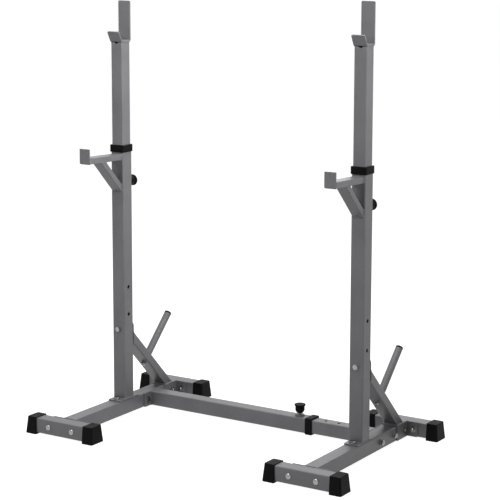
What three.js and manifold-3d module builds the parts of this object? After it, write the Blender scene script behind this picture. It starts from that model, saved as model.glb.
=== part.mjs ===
// A pair of squat stands joined by a telescoping floor bar.
// Millimetres. +X is right, +Y is back and +Z is up, with the origin on the floor
// under the middle of the whole footprint. Lengths are real sizes.

import * as THREE from 'three';
import { mergeVertices } from 'three/addons/utils/BufferGeometryUtils.js';
import Module from 'manifold-3d';

const wasm = await Module();
wasm.setup();

// Fits and gaps
const seatGap = 0.3;
const slideClearance = 0.5;
const boltClearance = 0.5;
const cutOverrun = 4;
const weldTolerance = 0.001;

// Square tube that the rails, crossbars, uprights and floor bar are cut from
const tubeWidth = 50;
const tubeWall = 2;
const tubeCorner = 4;

// Tube that slides inside it, for the masts and the floor bar's inner half
const innerWall = 2;
const innerCorner = 3;
const innerWidth = tubeWidth - 2 * (tubeWall + slideClearance);

// Bolts, washers and nuts
const boltRadius = 5;
const boltHeadFlats = 16;
const boltHeadHeight = 6.5;
const boltDomeRadius = 10;
const boltDomeHeight = 5.5;
const boltTail = 3;
const nutHeight = 8;
const washerRadius = 10.25;
const washerThickness = 1.6;

// Layout of one stand, from its upright's centre line
const standSpacing = 930;
const frontReach = 331;
const rearReach = 312;
const crossbarLength = 262;

// Flange plates welded across the ends of the side rail
const flangeThickness = 3;
const flangeCorner = 4;
const flangeLap = 1;
const flangeBoltStandOff = 23.5;
const flangeMargin = 16.5;
const flangeHeight = tubeWidth + 2 * flangeLap;
const flangeBoltReach = tubeWidth / 2 + flangeBoltStandOff;
const flangeWidth = 2 * (flangeBoltReach + flangeMargin);

// Black sleeve collar on the mouth of each outer tube
const collarHeight = 25;
const collarWall = 3.4;
const collarLip = 2;
const collarCorner = 6;
const collarEdge = 2.5;
const collarWidth = tubeWidth + 2 * (seatGap + collarWall);

// Plastic foot caps on the crossbars, whose soles keep the floor bar's collar off the floor
const linkDrop = 0.5;
const collarFloorGap = 0.8;
const capSole = linkDrop + seatGap + collarWall + collarFloorGap;
const capGrip = 34;
const capWall = 2.7;
const capFlare = 5;
const capCorner = 6;
const capRimCorner = 1.5;
const capEdge = 1.5;

// Heights of the rail's centre line and top
const railHeight = capSole + tubeWidth / 2;
const railTop = capSole + tubeWidth;

// Upright
const uprightTop = 940;
const basePlateThickness = 4;
const basePlateCorner = 3;
const baseBoltStandOff = 17;
const basePlateMargin = 14;
const baseBoltReach = tubeWidth / 2 + baseBoltStandOff;
const basePlateLength = 2 * (baseBoltReach + basePlateMargin);
const spareHoleHeights = [355.5, 451];
const spareHoleRadius = 4.5;

// Mast and the row of lock holes down its back
const mastLength = 639;
const mastHolePitch = 25;
const mastFirstHole = 37;
const mastHoleCount = 19;
const mastHoleLockedRight = 4;
const mastHoleLockedLeft = 5;
const lockHoleRadius = 5.5;
const ventWidth = 14;
const ventHeight = 5;

// Bar saddle, one bent plate
const saddleWidth = 48;
const saddlePlate = 5;
const saddleDepth = 54;
const saddleBackHeight = 136;
const saddleLipHeight = 40.5;
const saddleLipLean = THREE.MathUtils.degToRad(27);
const saddleBend = 7;
const saddleCorner = 4;

// Spotter bracket welded to the front of the upright, just below the collar
const spotterCollarGap = 5.8;
const spotterReach = 178;
const spotterTilt = THREE.MathUtils.degToRad(2);
const spotterWidth = 40;
const spotterTube = 20;
const spotterWall = 2;
const spotterCorner = 2.5;
const spotterBraceDrop = 95;
const spotterBraceAngle = THREE.MathUtils.degToRad(45);
const catchHeight = 50;
const catchThickness = 4;
const catchCorner = 2;
const spotterVentRadius = 2.5;
const spotterVentRise = 7;
const collarFoot = uprightTop + seatGap + collarLip - collarHeight;
const spotterHeight = collarFoot - spotterCollarGap - spotterTube;

// Rear brace with its bolting flange and the saddle bracket over the rail
const braceWidth = 50;
const braceDepth = 30;
const braceWall = 2;
const braceCorner = 3.5;
const braceAngle = THREE.MathUtils.degToRad(45);
const braceFlangeThickness = 3.5;
const braceFlangeHeight = 83;
const braceFlangeCorner = 16;
const braceBoltGap = 3.2;
const braceBoltInset = 20;
const bracketRearGap = 1.7;
const bracketLength = 72;
const bracketWall = 3;
const bracketCorner = 2;
const bracketBoltInset = 38;
const braceLandingInset = 5.7;
const bracketRear = rearReach - tubeWidth / 2 - seatGap - flangeThickness - bracketRearGap;
const bracketFront = bracketRear - bracketLength;
const bracketBoltReach = bracketFront + bracketBoltInset;
const braceLanding = bracketFront + bracketLength / 2 - braceLandingInset;
const braceRise = (braceLanding - tubeWidth / 2 - seatGap) * Math.tan(braceAngle);
const braceRoot = railTop + seatGap + braceRise + braceDepth / 2 / Math.cos(braceAngle);
const braceBoltHeight = braceRoot + braceBoltGap + washerRadius;
const braceFlangeTop = braceBoltHeight + braceBoltInset;

// Plate storage peg on the brace
const pegAlong = 148;
const pegRadius = 12.5;
const pegWall = 2;
const pegLength = 180;
const pegPlug = 14;
const pegCapRise = 4;
const pegCapEdge = 1.5;
const pegCapSpigot = 12;

// Pull pin locks
const lockDrop = 128;
const lockHeight = uprightTop - lockDrop;
const bossRadius = 15;
const bossHeight = 5.5;
const bossEdge = 1.2;
const pinRadius = 4.5;
const pinChamfer = 1.5;
const pinRunning = 0.5;
const lockStroke = 5;
const knobLength = 29.5;
const knobRimRadius = 19;
const knobRimHeight = 5;
const knobBodyRadius = 16;
const knobNeckRadius = 11;
const knobNeckHeight = 6;
const knobEdge = 1.5;
const knobBore = 18;

// Floor bar, bolted to the rails in front of the brace's bracket
const linkBracketGap = 2;
const linkBoltStandOff = 20;
const linkFlangeMargin = 17;
const linkOuterLength = 656;
const linkLockInset = 57;
const linkHolePitch = 50;
const linkHolesInward = 2;
const linkHolesOutward = 3;
const linkInnerEnd = 21.6;
const linkBoltReach = tubeWidth / 2 + linkBoltStandOff;
const linkFlangeLength = 2 * (linkBoltReach + linkFlangeMargin);
const linkReach = bracketFront - linkBracketGap - linkFlangeLength / 2;
const linkLockReach = linkOuterLength - linkLockInset;
const linkSpan = standSpacing - tubeWidth - 2 * seatGap;
const linkFirstHole = linkSpan - linkLockReach - linkHolesOutward * linkHolePitch;
const linkLastHole = linkSpan - linkLockReach + linkHolesInward * linkHolePitch;
const linkInnerLength = linkLastHole + linkInnerEnd;

// Roundness of curves
const cornerSegments = 2;
const boreSegments = 1;
const bendSegments = 4;
const holeSegments = 8;
const shankSegments = 6;
const boltHoleSegments = 6;
const washerSegments = 8;
const domeSides = 10;
const pegSegments = 16;
const knobSegments = 16;
const domeSegments = 2;

const quarterTurn = Math.PI / 2;
const tubeBore = tubeWidth - 2 * tubeWall;
const boltHoleRadius = (boltRadius + boltClearance) / Math.cos(Math.PI / boltHoleSegments);

// Turn a three.js geometry into a solid that can be joined and cut
function solid(geometry) {
  const bare = new THREE.BufferGeometry();
  bare.setAttribute('position', geometry.getAttribute('position'));
  bare.setIndex(geometry.getIndex());
  const merged = mergeVertices(bare, weldTolerance);
  const corners = merged.getIndex().array;
  const kept = [];
  for (let i = 0; i < corners.length; i += 3) {
    const [a, b, c] = corners.slice(i, i + 3);
    if (a !== b && b !== c && c !== a) kept.push(a, b, c);
  }
  return new wasm.Manifold(new wasm.Mesh({
    numProp: 3,
    vertProperties: Float32Array.from(merged.getAttribute('position').array),
    triVerts: Uint32Array.from(kept),
  }));
}

// Turn a finished solid back into a geometry
function surface(shape) {
  const { vertProperties, triVerts } = shape.getMesh();
  const geometry = new THREE.BufferGeometry();
  geometry.setAttribute('position', new THREE.BufferAttribute(vertProperties, 3));
  geometry.setIndex(new THREE.BufferAttribute(triVerts, 1));
  geometry.computeVertexNormals();
  return geometry;
}

const join = (...shapes) => shapes.reduce((all, shape) => all.add(shape));
const cut = (shape, ...tools) => tools.reduce((rest, tool) => rest.subtract(tool), shape);

// Which way a shape drawn in X and Y faces once it is extruded
const facing = {
  x: new THREE.Matrix4().makeBasis(
    new THREE.Vector3(0, 1, 0), new THREE.Vector3(0, 0, 1), new THREE.Vector3(1, 0, 0)),
  y: new THREE.Matrix4().makeBasis(
    new THREE.Vector3(0, 0, 1), new THREE.Vector3(1, 0, 0), new THREE.Vector3(0, 1, 0)),
  z: new THREE.Matrix4(),
};

function roundedRectangle(width, height, radius, Kind = THREE.Shape) {
  const x = width / 2 - radius;
  const y = height / 2 - radius;
  const outline = new Kind();
  outline.absarc(x, y, radius, 0, quarterTurn);
  outline.absarc(-x, y, radius, quarterTurn, 2 * quarterTurn);
  outline.absarc(-x, -y, radius, 2 * quarterTurn, 3 * quarterTurn);
  outline.absarc(x, -y, radius, 3 * quarterTurn, 4 * quarterTurn);
  outline.closePath();
  return outline;
}

// Extrude an outline by a length, starting at its own plane, and face it along an axis
function extrude(outline, length, axis = 'z', segments = cornerSegments) {
  const options = { depth: length, bevelEnabled: false, curveSegments: segments };
  return new THREE.ExtrudeGeometry(outline, options).applyMatrix4(facing[axis]);
}

function block(x, y, z, centre) {
  return solid(new THREE.BoxGeometry(x, y, z)).translate(centre);
}

// Straight square tube from the origin along an axis
function tube(width, wall, corner, length, axis) {
  const outline = roundedRectangle(width, width, corner);
  const bore = width - 2 * wall;
  const mouth = roundedRectangle(bore, bore, corner - wall, THREE.Path);
  outline.holes.push(new THREE.Path(mouth.getPoints(boreSegments)));
  return solid(extrude(outline, length, axis));
}

// Turned piece about Z from a list of [radius, height] points
function turned(profile, segments) {
  const points = profile.map(([radius, height]) => new THREE.Vector2(radius, height));
  return solid(new THREE.LatheGeometry(points, segments).rotateX(quarterTurn));
}

// Round drill centred on a point, through a given length along an axis
function drill(radius, length, axis, centre, segments = holeSegments) {
  const rod = new THREE.CylinderGeometry(radius, radius, length, segments);
  if (axis === 'x') rod.rotateZ(quarterTurn);
  if (axis === 'z') rod.rotateX(quarterTurn);
  return solid(rod).translate(centre);
}

// Hole that a bolt passes through
const boltHole = (length, axis, centre) => drill(
  boltHoleRadius, length, axis, centre, boltHoleSegments);

// Skin over rings of points that all hold the same number of points, first ring lowest
function loft(rings) {
  const count = rings[0].length;
  const positions = [];
  const index = [];
  rings.forEach((ring) => ring.forEach((point) => positions.push(point.x, point.y, point.z)));
  for (let level = 0; level < rings.length - 1; level += 1) {
    for (let i = 0; i < count; i += 1) {
      const a = level * count + i;
      const b = level * count + ((i + 1) % count);
      index.push(a, b, b + count, a, b + count, a + count);
    }
  }
  const top = (rings.length - 1) * count;
  for (let i = 1; i < count - 1; i += 1) {
    index.push(0, i + 1, i, top, top + i, top + i + 1);
  }
  const geometry = new THREE.BufferGeometry();
  geometry.setAttribute('position', new THREE.Float32BufferAttribute(positions, 3));
  geometry.setIndex(index);
  return solid(geometry);
}

// Crossbar: a plain tube along X with two bolt holes straight through it
function crossbar() {
  const body = tube(tubeWidth, tubeWall, tubeCorner, crossbarLength, 'x')
    .translate([-crossbarLength / 2, 0, 0]);
  const holes = [-flangeBoltReach, flangeBoltReach].map(
    (x) => boltHole(tubeWidth + cutOverrun, 'y', [x, 0, 0]));
  return surface(cut(body, ...holes));
}

// Side rail: a tube along Y with a flange plate across each end
function sideRail() {
  const frontFace = -frontReach + tubeWidth / 2 + seatGap;
  const rearFace = rearReach - tubeWidth / 2 - seatGap;
  const body = tube(tubeWidth, tubeWall, tubeCorner, rearFace - frontFace, 'y')
    .translate([0, frontFace, 0]);
  const plate = extrude(
    roundedRectangle(flangeHeight, flangeWidth, flangeCorner), flangeThickness, 'y');
  const plates = [frontFace, rearFace - flangeThickness].map(
    (y) => solid(plate).translate([0, y, 0]));
  const through = tubeWidth + cutOverrun;
  const flangeHoles = [-flangeBoltReach, flangeBoltReach].flatMap((x) => [frontFace, rearFace].map(
    (y) => boltHole(2 * flangeThickness + cutOverrun, 'y', [x, y, 0])));
  const baseHoles = [-baseBoltReach, baseBoltReach].map(
    (y) => boltHole(tubeWall + cutOverrun, 'z', [0, y, tubeWidth / 2]));
  const sideHoles = [
    boltHole(through, 'x', [0, linkReach - linkBoltReach, -linkDrop]),
    boltHole(through, 'x', [0, linkReach + linkBoltReach, -linkDrop]),
    boltHole(through, 'x', [0, bracketBoltReach, 0]),
  ];
  return surface(cut(join(body, ...plates), ...flangeHoles, ...baseHoles, ...sideHoles));
}

// Outline of a foot cap at one level, swollen by a margin on its three outer sides
function capRing(margin, height) {
  const halfWidth = tubeWidth / 2 + seatGap + capWall + margin;
  const outer = seatGap + capWall + margin;
  const outline = new THREE.Shape();
  const square = halfWidth - capCorner;
  const rim = halfWidth - capRimCorner;
  outline.absarc(outer - capCorner, square, capCorner, 0, quarterTurn);
  outline.absarc(-capGrip + capRimCorner, rim, capRimCorner, quarterTurn, 2 * quarterTurn);
  outline.absarc(-capGrip + capRimCorner, -rim, capRimCorner, 2 * quarterTurn, 3 * quarterTurn);
  outline.absarc(outer - capCorner, -square, capCorner, 3 * quarterTurn, 4 * quarterTurn);
  return outline.getPoints(cornerSegments).map((p) => new THREE.Vector3(p.x, p.y, height));
}

// Foot cap: a flared shoe that slips over a crossbar's end, open towards -X
function footCap() {
  const top = tubeWidth / 2 + seatGap + capWall;
  const sole = -tubeWidth / 2 - capSole;
  const body = loft([
    capRing(capFlare - capEdge, sole),
    capRing(capFlare, sole + capEdge),
    capRing(0, top - capEdge),
    capRing(-capEdge, top),
  ]);
  const pocketLength = capGrip + seatGap + cutOverrun;
  const pocketWidth = tubeWidth + 2 * seatGap;
  const pocket = block(
    pocketLength, pocketWidth, pocketWidth, [seatGap - pocketLength / 2, 0, 0]);
  return surface(cut(body, pocket));
}

// Round boss that guides a lock pin, standing on the plane Z = 0
function lockBoss() {
  return turned([
    [0, -tubeWall / 2],
    [bossRadius, -tubeWall / 2],
    [bossRadius, bossHeight - bossEdge],
    [bossRadius - bossEdge, bossHeight],
    [0, bossHeight],
  ], pegSegments);
}

function pinHole(axis, centre) {
  const length = 2 * (bossHeight + tubeWall) + cutOverrun;
  return drill(pinRadius + pinRunning, length, axis, centre, pegSegments);
}

// Upright on its welded base plate, from the underside of the plate up
function upright() {
  const base = railTop + seatGap;
  const plate = solid(extrude(
    roundedRectangle(tubeWidth, basePlateLength, basePlateCorner), basePlateThickness));
  const post = tube(tubeWidth, tubeWall, tubeCorner, uprightTop - base, 'z');
  const floor = block(tubeBore, tubeBore, basePlateThickness, [0, 0, basePlateThickness / 2]);
  const boss = lockBoss().rotate([-90, 0, 0])
    .translate([0, tubeWidth / 2, lockHeight - base]);
  const through = tubeWidth + cutOverrun;
  const spareHoles = spareHoleHeights.map(
    (height) => drill(spareHoleRadius, through, 'x', [0, 0, height - base]));
  const baseHoles = [-baseBoltReach, baseBoltReach].map(
    (y) => boltHole(2 * basePlateThickness + cutOverrun, 'z', [0, y, 0]));
  return surface(cut(
    join(plate, post, floor, boss),
    pinHole('y', [0, tubeWidth / 2, lockHeight - base]),
    boltHole(through, 'y', [0, 0, braceBoltHeight - base]),
    ...spareHoles,
    ...baseHoles,
  ));
}

// Sleeve collar over a tube's end face at the origin, mouth upwards
function collar() {
  const ring = (inset, height) => roundedRectangle(
    collarWidth - 2 * inset, collarWidth - 2 * inset, collarCorner - inset)
    .getPoints(cornerSegments).slice(0, -1).map((p) => new THREE.Vector3(p.x, p.y, height));
  const foot = collarLip + seatGap - collarHeight;
  const top = collarLip + seatGap;
  const body = loft([
    ring(collarEdge, foot),
    ring(0, foot + collarEdge),
    ring(0, top - collarEdge),
    ring(collarEdge, top),
  ]);
  const pocket = tubeWidth + 2 * seatGap;
  const mouth = innerWidth + 2 * seatGap;
  return surface(cut(
    body,
    block(pocket, pocket, collarHeight, [0, 0, seatGap - collarHeight / 2]),
    solid(extrude(roundedRectangle(mouth, mouth, innerCorner), 2 * collarHeight))
      .translate([0, 0, -collarHeight]),
  ));
}

// Mast from its lower end up, with lock holes down the back and a vent notch at the top front
function mastTube() {
  const body = tube(innerWidth, innerWall, innerCorner, mastLength, 'z');
  const holes = Array.from({ length: mastHoleCount }, (_, i) => drill(
    lockHoleRadius, innerWall + cutOverrun, 'y',
    [0, innerWidth / 2, mastFirstHole + i * mastHolePitch]));
  const notch = drill(ventWidth / 2, innerWall + cutOverrun, 'y', [0, 0, 0])
    .scale([1, 1, 2 * ventHeight / ventWidth])
    .translate([0, -innerWidth / 2, mastLength]);
  return surface(cut(body, ...holes, notch));
}

// Cutter that rounds one corner of a plate: the corner of a square outside a quarter circle
function cornerCutter(radius, thickness) {
  const outline = new THREE.Shape();
  outline.moveTo(cutOverrun, cutOverrun);
  outline.lineTo(-radius, cutOverrun);
  outline.lineTo(-radius, 0);
  outline.absarc(-radius, -radius, radius, quarterTurn, 0, true);
  outline.lineTo(cutOverrun, -radius);
  outline.closePath();
  return solid(new THREE.ExtrudeGeometry(outline, {
    depth: thickness, bevelEnabled: false, curveSegments: bendSegments,
  })).translate([0, 0, -thickness / 2]).rotate([90, 0, 0]);
}

// Bar saddle: one plate bent up at the back and into a short leaning lip at the front
function barSaddle() {
  const back = saddleDepth / 2;
  const inner = saddleBend - saddlePlate;
  const frontCentre = -back + saddleBend;
  const rearCentre = back - saddleBend;
  const lean = saddleLipLean;
  const lipTop = [
    frontCentre - saddleBend * Math.cos(lean)
      - Math.tan(lean) * (saddleLipHeight - saddleBend - saddleBend * Math.sin(lean)),
    saddleLipHeight,
  ];
  const along = [saddlePlate * Math.cos(lean), saddlePlate * Math.sin(lean)];
  const outline = new THREE.Shape();
  outline.moveTo(back, saddleBackHeight);
  outline.lineTo(back - saddlePlate, saddleBackHeight);
  outline.absarc(rearCentre, saddleBend, inner, 0, -quarterTurn, true);
  outline.absarc(frontCentre, saddleBend, inner, -quarterTurn, -2 * quarterTurn + lean, true);
  outline.lineTo(lipTop[0] + along[0], lipTop[1] + along[1]);
  outline.lineTo(lipTop[0], lipTop[1]);
  outline.absarc(frontCentre, saddleBend, saddleBend, -2 * quarterTurn + lean, -quarterTurn);
  outline.absarc(rearCentre, saddleBend, saddleBend, -quarterTurn, 0);
  outline.closePath();
  const body = solid(extrude(outline, saddleWidth, 'x', bendSegments))
    .translate([-saddleWidth / 2, 0, 0]);
  const topCorner = cornerCutter(saddleCorner, saddleDepth)
    .translate([saddleWidth / 2, back, saddleBackHeight]);
  const lipCorner = cornerCutter(saddleCorner, saddleBend + 2 * saddlePlate)
    .rotate([THREE.MathUtils.radToDeg(lean), 0, 0])
    .translate([saddleWidth / 2, lipTop[0] + along[0], lipTop[1] + along[1]]);
  const corners = [topCorner, lipCorner].flatMap(
    (cutter) => [cutter, cutter.mirror([1, 0, 0])]);
  return surface(cut(body, ...corners));
}

// Spotter bracket from the upright's front face, with Z = 0 at the arm's underside there
function spotterBracket() {
  const long = 2 * spotterReach;
  const bar = (grow) => solid(extrude(
    roundedRectangle(spotterTube + grow, spotterWidth + grow, Math.max(
      spotterCorner + grow / 2, spotterWall / 4)), long, 'y')).translate([0, -long, 0]);
  const tilt = THREE.MathUtils.radToDeg(spotterTilt);
  const lean = THREE.MathUtils.radToDeg(spotterBraceAngle);
  const asArm = (shape) => shape.translate([0, cutOverrun, spotterTube / 2])
    .rotate([-tilt, 0, 0]);
  const asBrace = (shape) => shape.translate([0, spotterTube, 0])
    .rotate([-lean, 0, 0]).translate([0, 0, -spotterBraceDrop]);
  const front = block(long, spotterReach, long, [0, -spotterReach / 2, 0]);
  const behindCatch = block(
    long, long, long, [0, catchThickness - spotterReach + long / 2, 0]);
  const intoCatch = block(
    long, spotterReach - catchThickness / 2, long, [0, (catchThickness / 2 - spotterReach) / 2, 0]);
  const catchFoot = spotterReach * Math.tan(spotterTilt);
  const plate = solid(extrude(
    roundedRectangle(catchHeight, spotterWidth, catchCorner), catchThickness, 'y'))
    .translate([0, -spotterReach, catchFoot + catchHeight / 2]);
  const arm = asArm(bar(0));
  const below = (height) => block(long, 2 * long, long, [0, 0, height - long / 2])
    .rotate([-tilt, 0, 0]);
  const brace = asBrace(bar(0)).intersect(below(spotterWall / 2));
  const armBore = asArm(bar(-2 * spotterWall)).intersect(behindCatch);
  const braceBore = asBrace(bar(-2 * spotterWall)).intersect(below(0));
  const toeHeight = -spotterBraceDrop - spotterTube / 2 / Math.cos(spotterBraceAngle);
  const vent = drill(spotterVentRadius, spotterTube, 'z', [0, 0, 0]).rotate([-lean, 0, 0])
    .translate([0, -spotterVentRise, toeHeight + spotterVentRise * Math.tan(spotterBraceAngle)]);
  const body = join(arm.intersect(intoCatch), brace, plate).intersect(front);
  return surface(cut(body, armBore, braceBore, vent));
}

// Rear brace from the upright's back face, with Z = 0 on top of the rail
function rearBrace() {
  const originY = tubeWidth / 2 + seatGap;
  const originZ = railTop + seatGap;
  const long = 3 * braceRise;
  const lean = THREE.MathUtils.radToDeg(braceAngle);
  const bar = (grow) => solid(extrude(
    roundedRectangle(braceDepth + grow, braceWidth + grow, Math.max(
      braceCorner + grow / 2, braceWall / 4)), long, 'y'))
    .translate([0, -long / 3, 0]).rotate([-lean, 0, 0]).translate([0, 0, braceRise]);
  const room = (y, z) => block(long, long, long, [0, y + long / 2, z + long / 2]);
  const flangeOutline = new THREE.Shape();
  const half = braceWidth / 2;
  const shoulder = braceFlangeHeight - braceFlangeCorner;
  const turn = half - braceFlangeCorner;
  flangeOutline.moveTo(0, -half);
  flangeOutline.lineTo(shoulder, -half);
  flangeOutline.absarc(shoulder, -turn, braceFlangeCorner, -quarterTurn, 0);
  flangeOutline.absarc(shoulder, turn, braceFlangeCorner, 0, quarterTurn);
  flangeOutline.lineTo(0, half);
  flangeOutline.closePath();
  const flange = solid(extrude(flangeOutline, braceFlangeThickness, 'y', bendSegments))
    .translate([0, 0, braceFlangeTop - braceFlangeHeight - originZ]);
  const bracketWidth = tubeWidth + 2 * (seatGap + bracketWall);
  const bracketHeight = tubeWidth + bracketWall;
  const saddle = solid(extrude(
    roundedRectangle(bracketHeight, bracketWidth, bracketCorner), bracketLength, 'y'))
    .translate([0, bracketFront - originY, bracketWall - bracketHeight / 2]);
  const slot = block(
    bracketWidth - 2 * bracketWall, bracketLength + cutOverrun, bracketHeight,
    [0, bracketFront - originY + bracketLength / 2, -bracketHeight / 2]);
  const pegY = pegAlong * Math.cos(braceAngle);
  const pegZ = braceRise - pegAlong * Math.sin(braceAngle);
  const pegHole = boltHole(2 * braceDepth, 'z', [0, 0, 0])
    .rotate([-lean, 0, 0]).translate([0, pegY, pegZ]);
  return surface(cut(
    join(bar(0).intersect(room(0, 0)), flange, saddle.subtract(slot)),
    bar(-2 * braceWall).intersect(room(braceFlangeThickness, bracketWall)),
    pegHole,
    boltHole(2 * braceFlangeThickness + cutOverrun, 'y',
      [0, 0, braceBoltHeight - originZ]),
    boltHole(bracketWidth + cutOverrun, 'x',
      [0, bracketBoltReach - originY, railHeight - originZ]),
  ));
}

// Six-sided bolt head or nut, standing on Z = 0
function hexagon(height) {
  const corner = boltHeadFlats / Math.sqrt(3);
  return turned([[0, 0], [corner, 0], [corner, height], [0, height]], 6);
}

function disc(radius, height, segments) {
  return turned([[0, 0], [radius, 0], [radius, height], [0, height]], segments);
}

// Domed head of a crossbar bolt, standing on Z = 0
function domeHead() {
  const rise = Array.from({ length: domeSegments }, (_, i) => {
    const turn = quarterTurn * (i + 1) / (domeSegments + 1);
    return [boltDomeRadius * Math.cos(turn), boltDomeHeight * Math.sin(turn)];
  });
  return turned([[0, 0], [boltDomeRadius, 0], ...rise, [0, boltDomeHeight]], domeSides);
}

// Nut on the threaded end of a bolt or stud that reaches down from Z = 0 through a grip
function nutEnd(grip, washer = washerThickness) {
  const seat = -grip - seatGap - washer;
  const tip = seat - nutHeight - boltTail;
  const parts = [
    disc(boltRadius, boltRadius - tip, shankSegments).translate([0, 0, tip]),
    hexagon(nutHeight).translate([0, 0, seat - nutHeight]),
  ];
  if (washer > 0) parts.push(disc(washerRadius, washer, washerSegments).translate([0, 0, seat]));
  return join(...parts);
}

// Hex bolt with its washers and nut
function hexBolt(grip) {
  return surface(join(
    nutEnd(grip),
    disc(washerRadius, washerThickness, washerSegments).translate([0, 0, seatGap]),
    hexagon(boltHeadHeight).translate([0, 0, seatGap + washerThickness]),
  ));
}

// Domed bolt that a crossbar is held with
function domeBolt(grip) {
  return surface(join(nutEnd(grip), domeHead().translate([0, 0, seatGap])));
}

// Base bolt into a plain nut that is fixed inside the rail
function baseBolt(grip) {
  return surface(join(
    nutEnd(grip, 0),
    disc(washerRadius, washerThickness, washerSegments).translate([0, 0, seatGap]),
    hexagon(boltHeadHeight).translate([0, 0, seatGap + washerThickness]),
  ));
}

// Plate peg with the stud and nut that hold it, seated on the brace's upper face at Z = 0
function platePeg() {
  const bore = pegRadius - pegWall;
  return surface(join(
    turned([
      [0, seatGap],
      [pegRadius, seatGap],
      [pegRadius, pegLength],
      [bore, pegLength],
      [bore, pegPlug],
      [0, pegPlug],
    ], pegSegments),
    nutEnd(braceDepth),
  ));
}

// Plug in the open end of the peg, seated on its rim at Z = 0
function pegCap() {
  const spigot = pegRadius - pegWall - seatGap;
  return surface(turned([
    [0, -pegCapSpigot],
    [spigot, -pegCapSpigot],
    [spigot, seatGap],
    [pegRadius, seatGap],
    [pegRadius, pegCapRise - pegCapEdge],
    [pegRadius - pegCapEdge, pegCapRise],
    [0, pegCapRise],
  ], pegSegments));
}

// Height of a parked knob's underside above the tube, and of its pin's tip
const knobFoot = bossHeight + pinRunning + lockStroke;
const pinTip = seatGap - tubeWall - slideClearance;

function lockKnob() {
  const rim = knobLength - knobRimHeight;
  return surface(turned([
    [0, knobBore],
    [pinRadius + seatGap, knobBore],
    [pinRadius + seatGap, 0],
    [knobNeckRadius, 0],
    [knobBodyRadius - knobEdge, knobNeckHeight],
    [knobBodyRadius, rim],
    [knobRimRadius, rim + knobEdge],
    [knobRimRadius, knobLength - knobEdge],
    [knobRimRadius - knobEdge, knobLength],
    [0, knobLength],
  ], knobSegments));
}

function lockPin() {
  const top = knobFoot + knobBore - seatGap;
  return surface(turned([
    [0, pinTip],
    [pinRadius - pinChamfer, pinTip],
    [pinRadius, pinTip + pinChamfer],
    [pinRadius, top],
    [0, top],
  ], holeSegments));
}

// Flange plate of the floor bar, from its bolting face at X = 0
function linkFlange() {
  const plate = solid(extrude(
    roundedRectangle(linkFlangeLength, tubeWidth, flangeCorner), flangeThickness, 'x'));
  const holes = [-linkBoltReach, linkBoltReach].map(
    (y) => boltHole(2 * flangeThickness + cutOverrun, 'x', [0, y, 0]));
  return cut(plate, ...holes);
}

// Outer half of the floor bar, along +X from its bolting face
function linkOuterTube() {
  const boss = lockBoss().translate([linkLockReach, 0, tubeWidth / 2]);
  return surface(cut(
    join(
      linkFlange(),
      tube(tubeWidth, tubeWall, tubeCorner, linkOuterLength - flangeThickness / 2, 'x')
        .translate([flangeThickness / 2, 0, 0]),
      boss,
    ),
    pinHole('z', [linkLockReach, 0, tubeWidth / 2]),
  ));
}

// Inner half of the floor bar, along +X from its bolting face
function linkInnerTube() {
  const count = linkHolesInward + linkHolesOutward + 1;
  const holes = Array.from({ length: count }, (_, i) => drill(
    lockHoleRadius, innerWall + cutOverrun, 'z',
    [linkFirstHole + i * linkHolePitch, 0, innerWidth / 2]));
  return surface(cut(
    join(
      linkFlange(),
      tube(innerWidth, innerWall, innerCorner, linkInnerLength - flangeThickness / 2, 'x')
        .translate([flangeThickness / 2, 0, 0]),
    ),
    ...holes,
  ));
}

// Finishes
const paint = () => new THREE.MeshStandardMaterial(
  { color: 0x77767a, roughness: 0.45, metalness: 0.5, flatShading: true });
const blackPlastic = () => new THREE.MeshStandardMaterial(
  { color: 0x17181a, roughness: 0.55, metalness: 0, flatShading: true });
const zinc = () => new THREE.MeshStandardMaterial(
  { color: 0xb9bbbd, roughness: 0.3, metalness: 1, flatShading: true });

function place(group, name, geometry, material, position, rotation = [0, 0, 0]) {
  const mesh = new THREE.Mesh(geometry, material);
  mesh.name = name;
  mesh.position.set(...position);
  mesh.rotation.set(...rotation);
  group.add(mesh);
}

// Knob and pin of one lock, on an outer tube's face at the given place
function placeLock(group, name, position, rotation = [0, 0, 0]) {
  const lock = new THREE.Group();
  lock.position.set(...position);
  lock.rotation.set(...rotation);
  place(lock, `${name}_lock_knob`, lockKnob(), blackPlastic(), [0, 0, knobFoot]);
  place(lock, `${name}_lock_pin`, lockPin(), zinc(), [0, 0, 0]);
  group.add(lock);
}

const headForward = [quarterTurn, 0, 0];
const headBack = [-quarterTurn, 0, 0];

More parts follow.
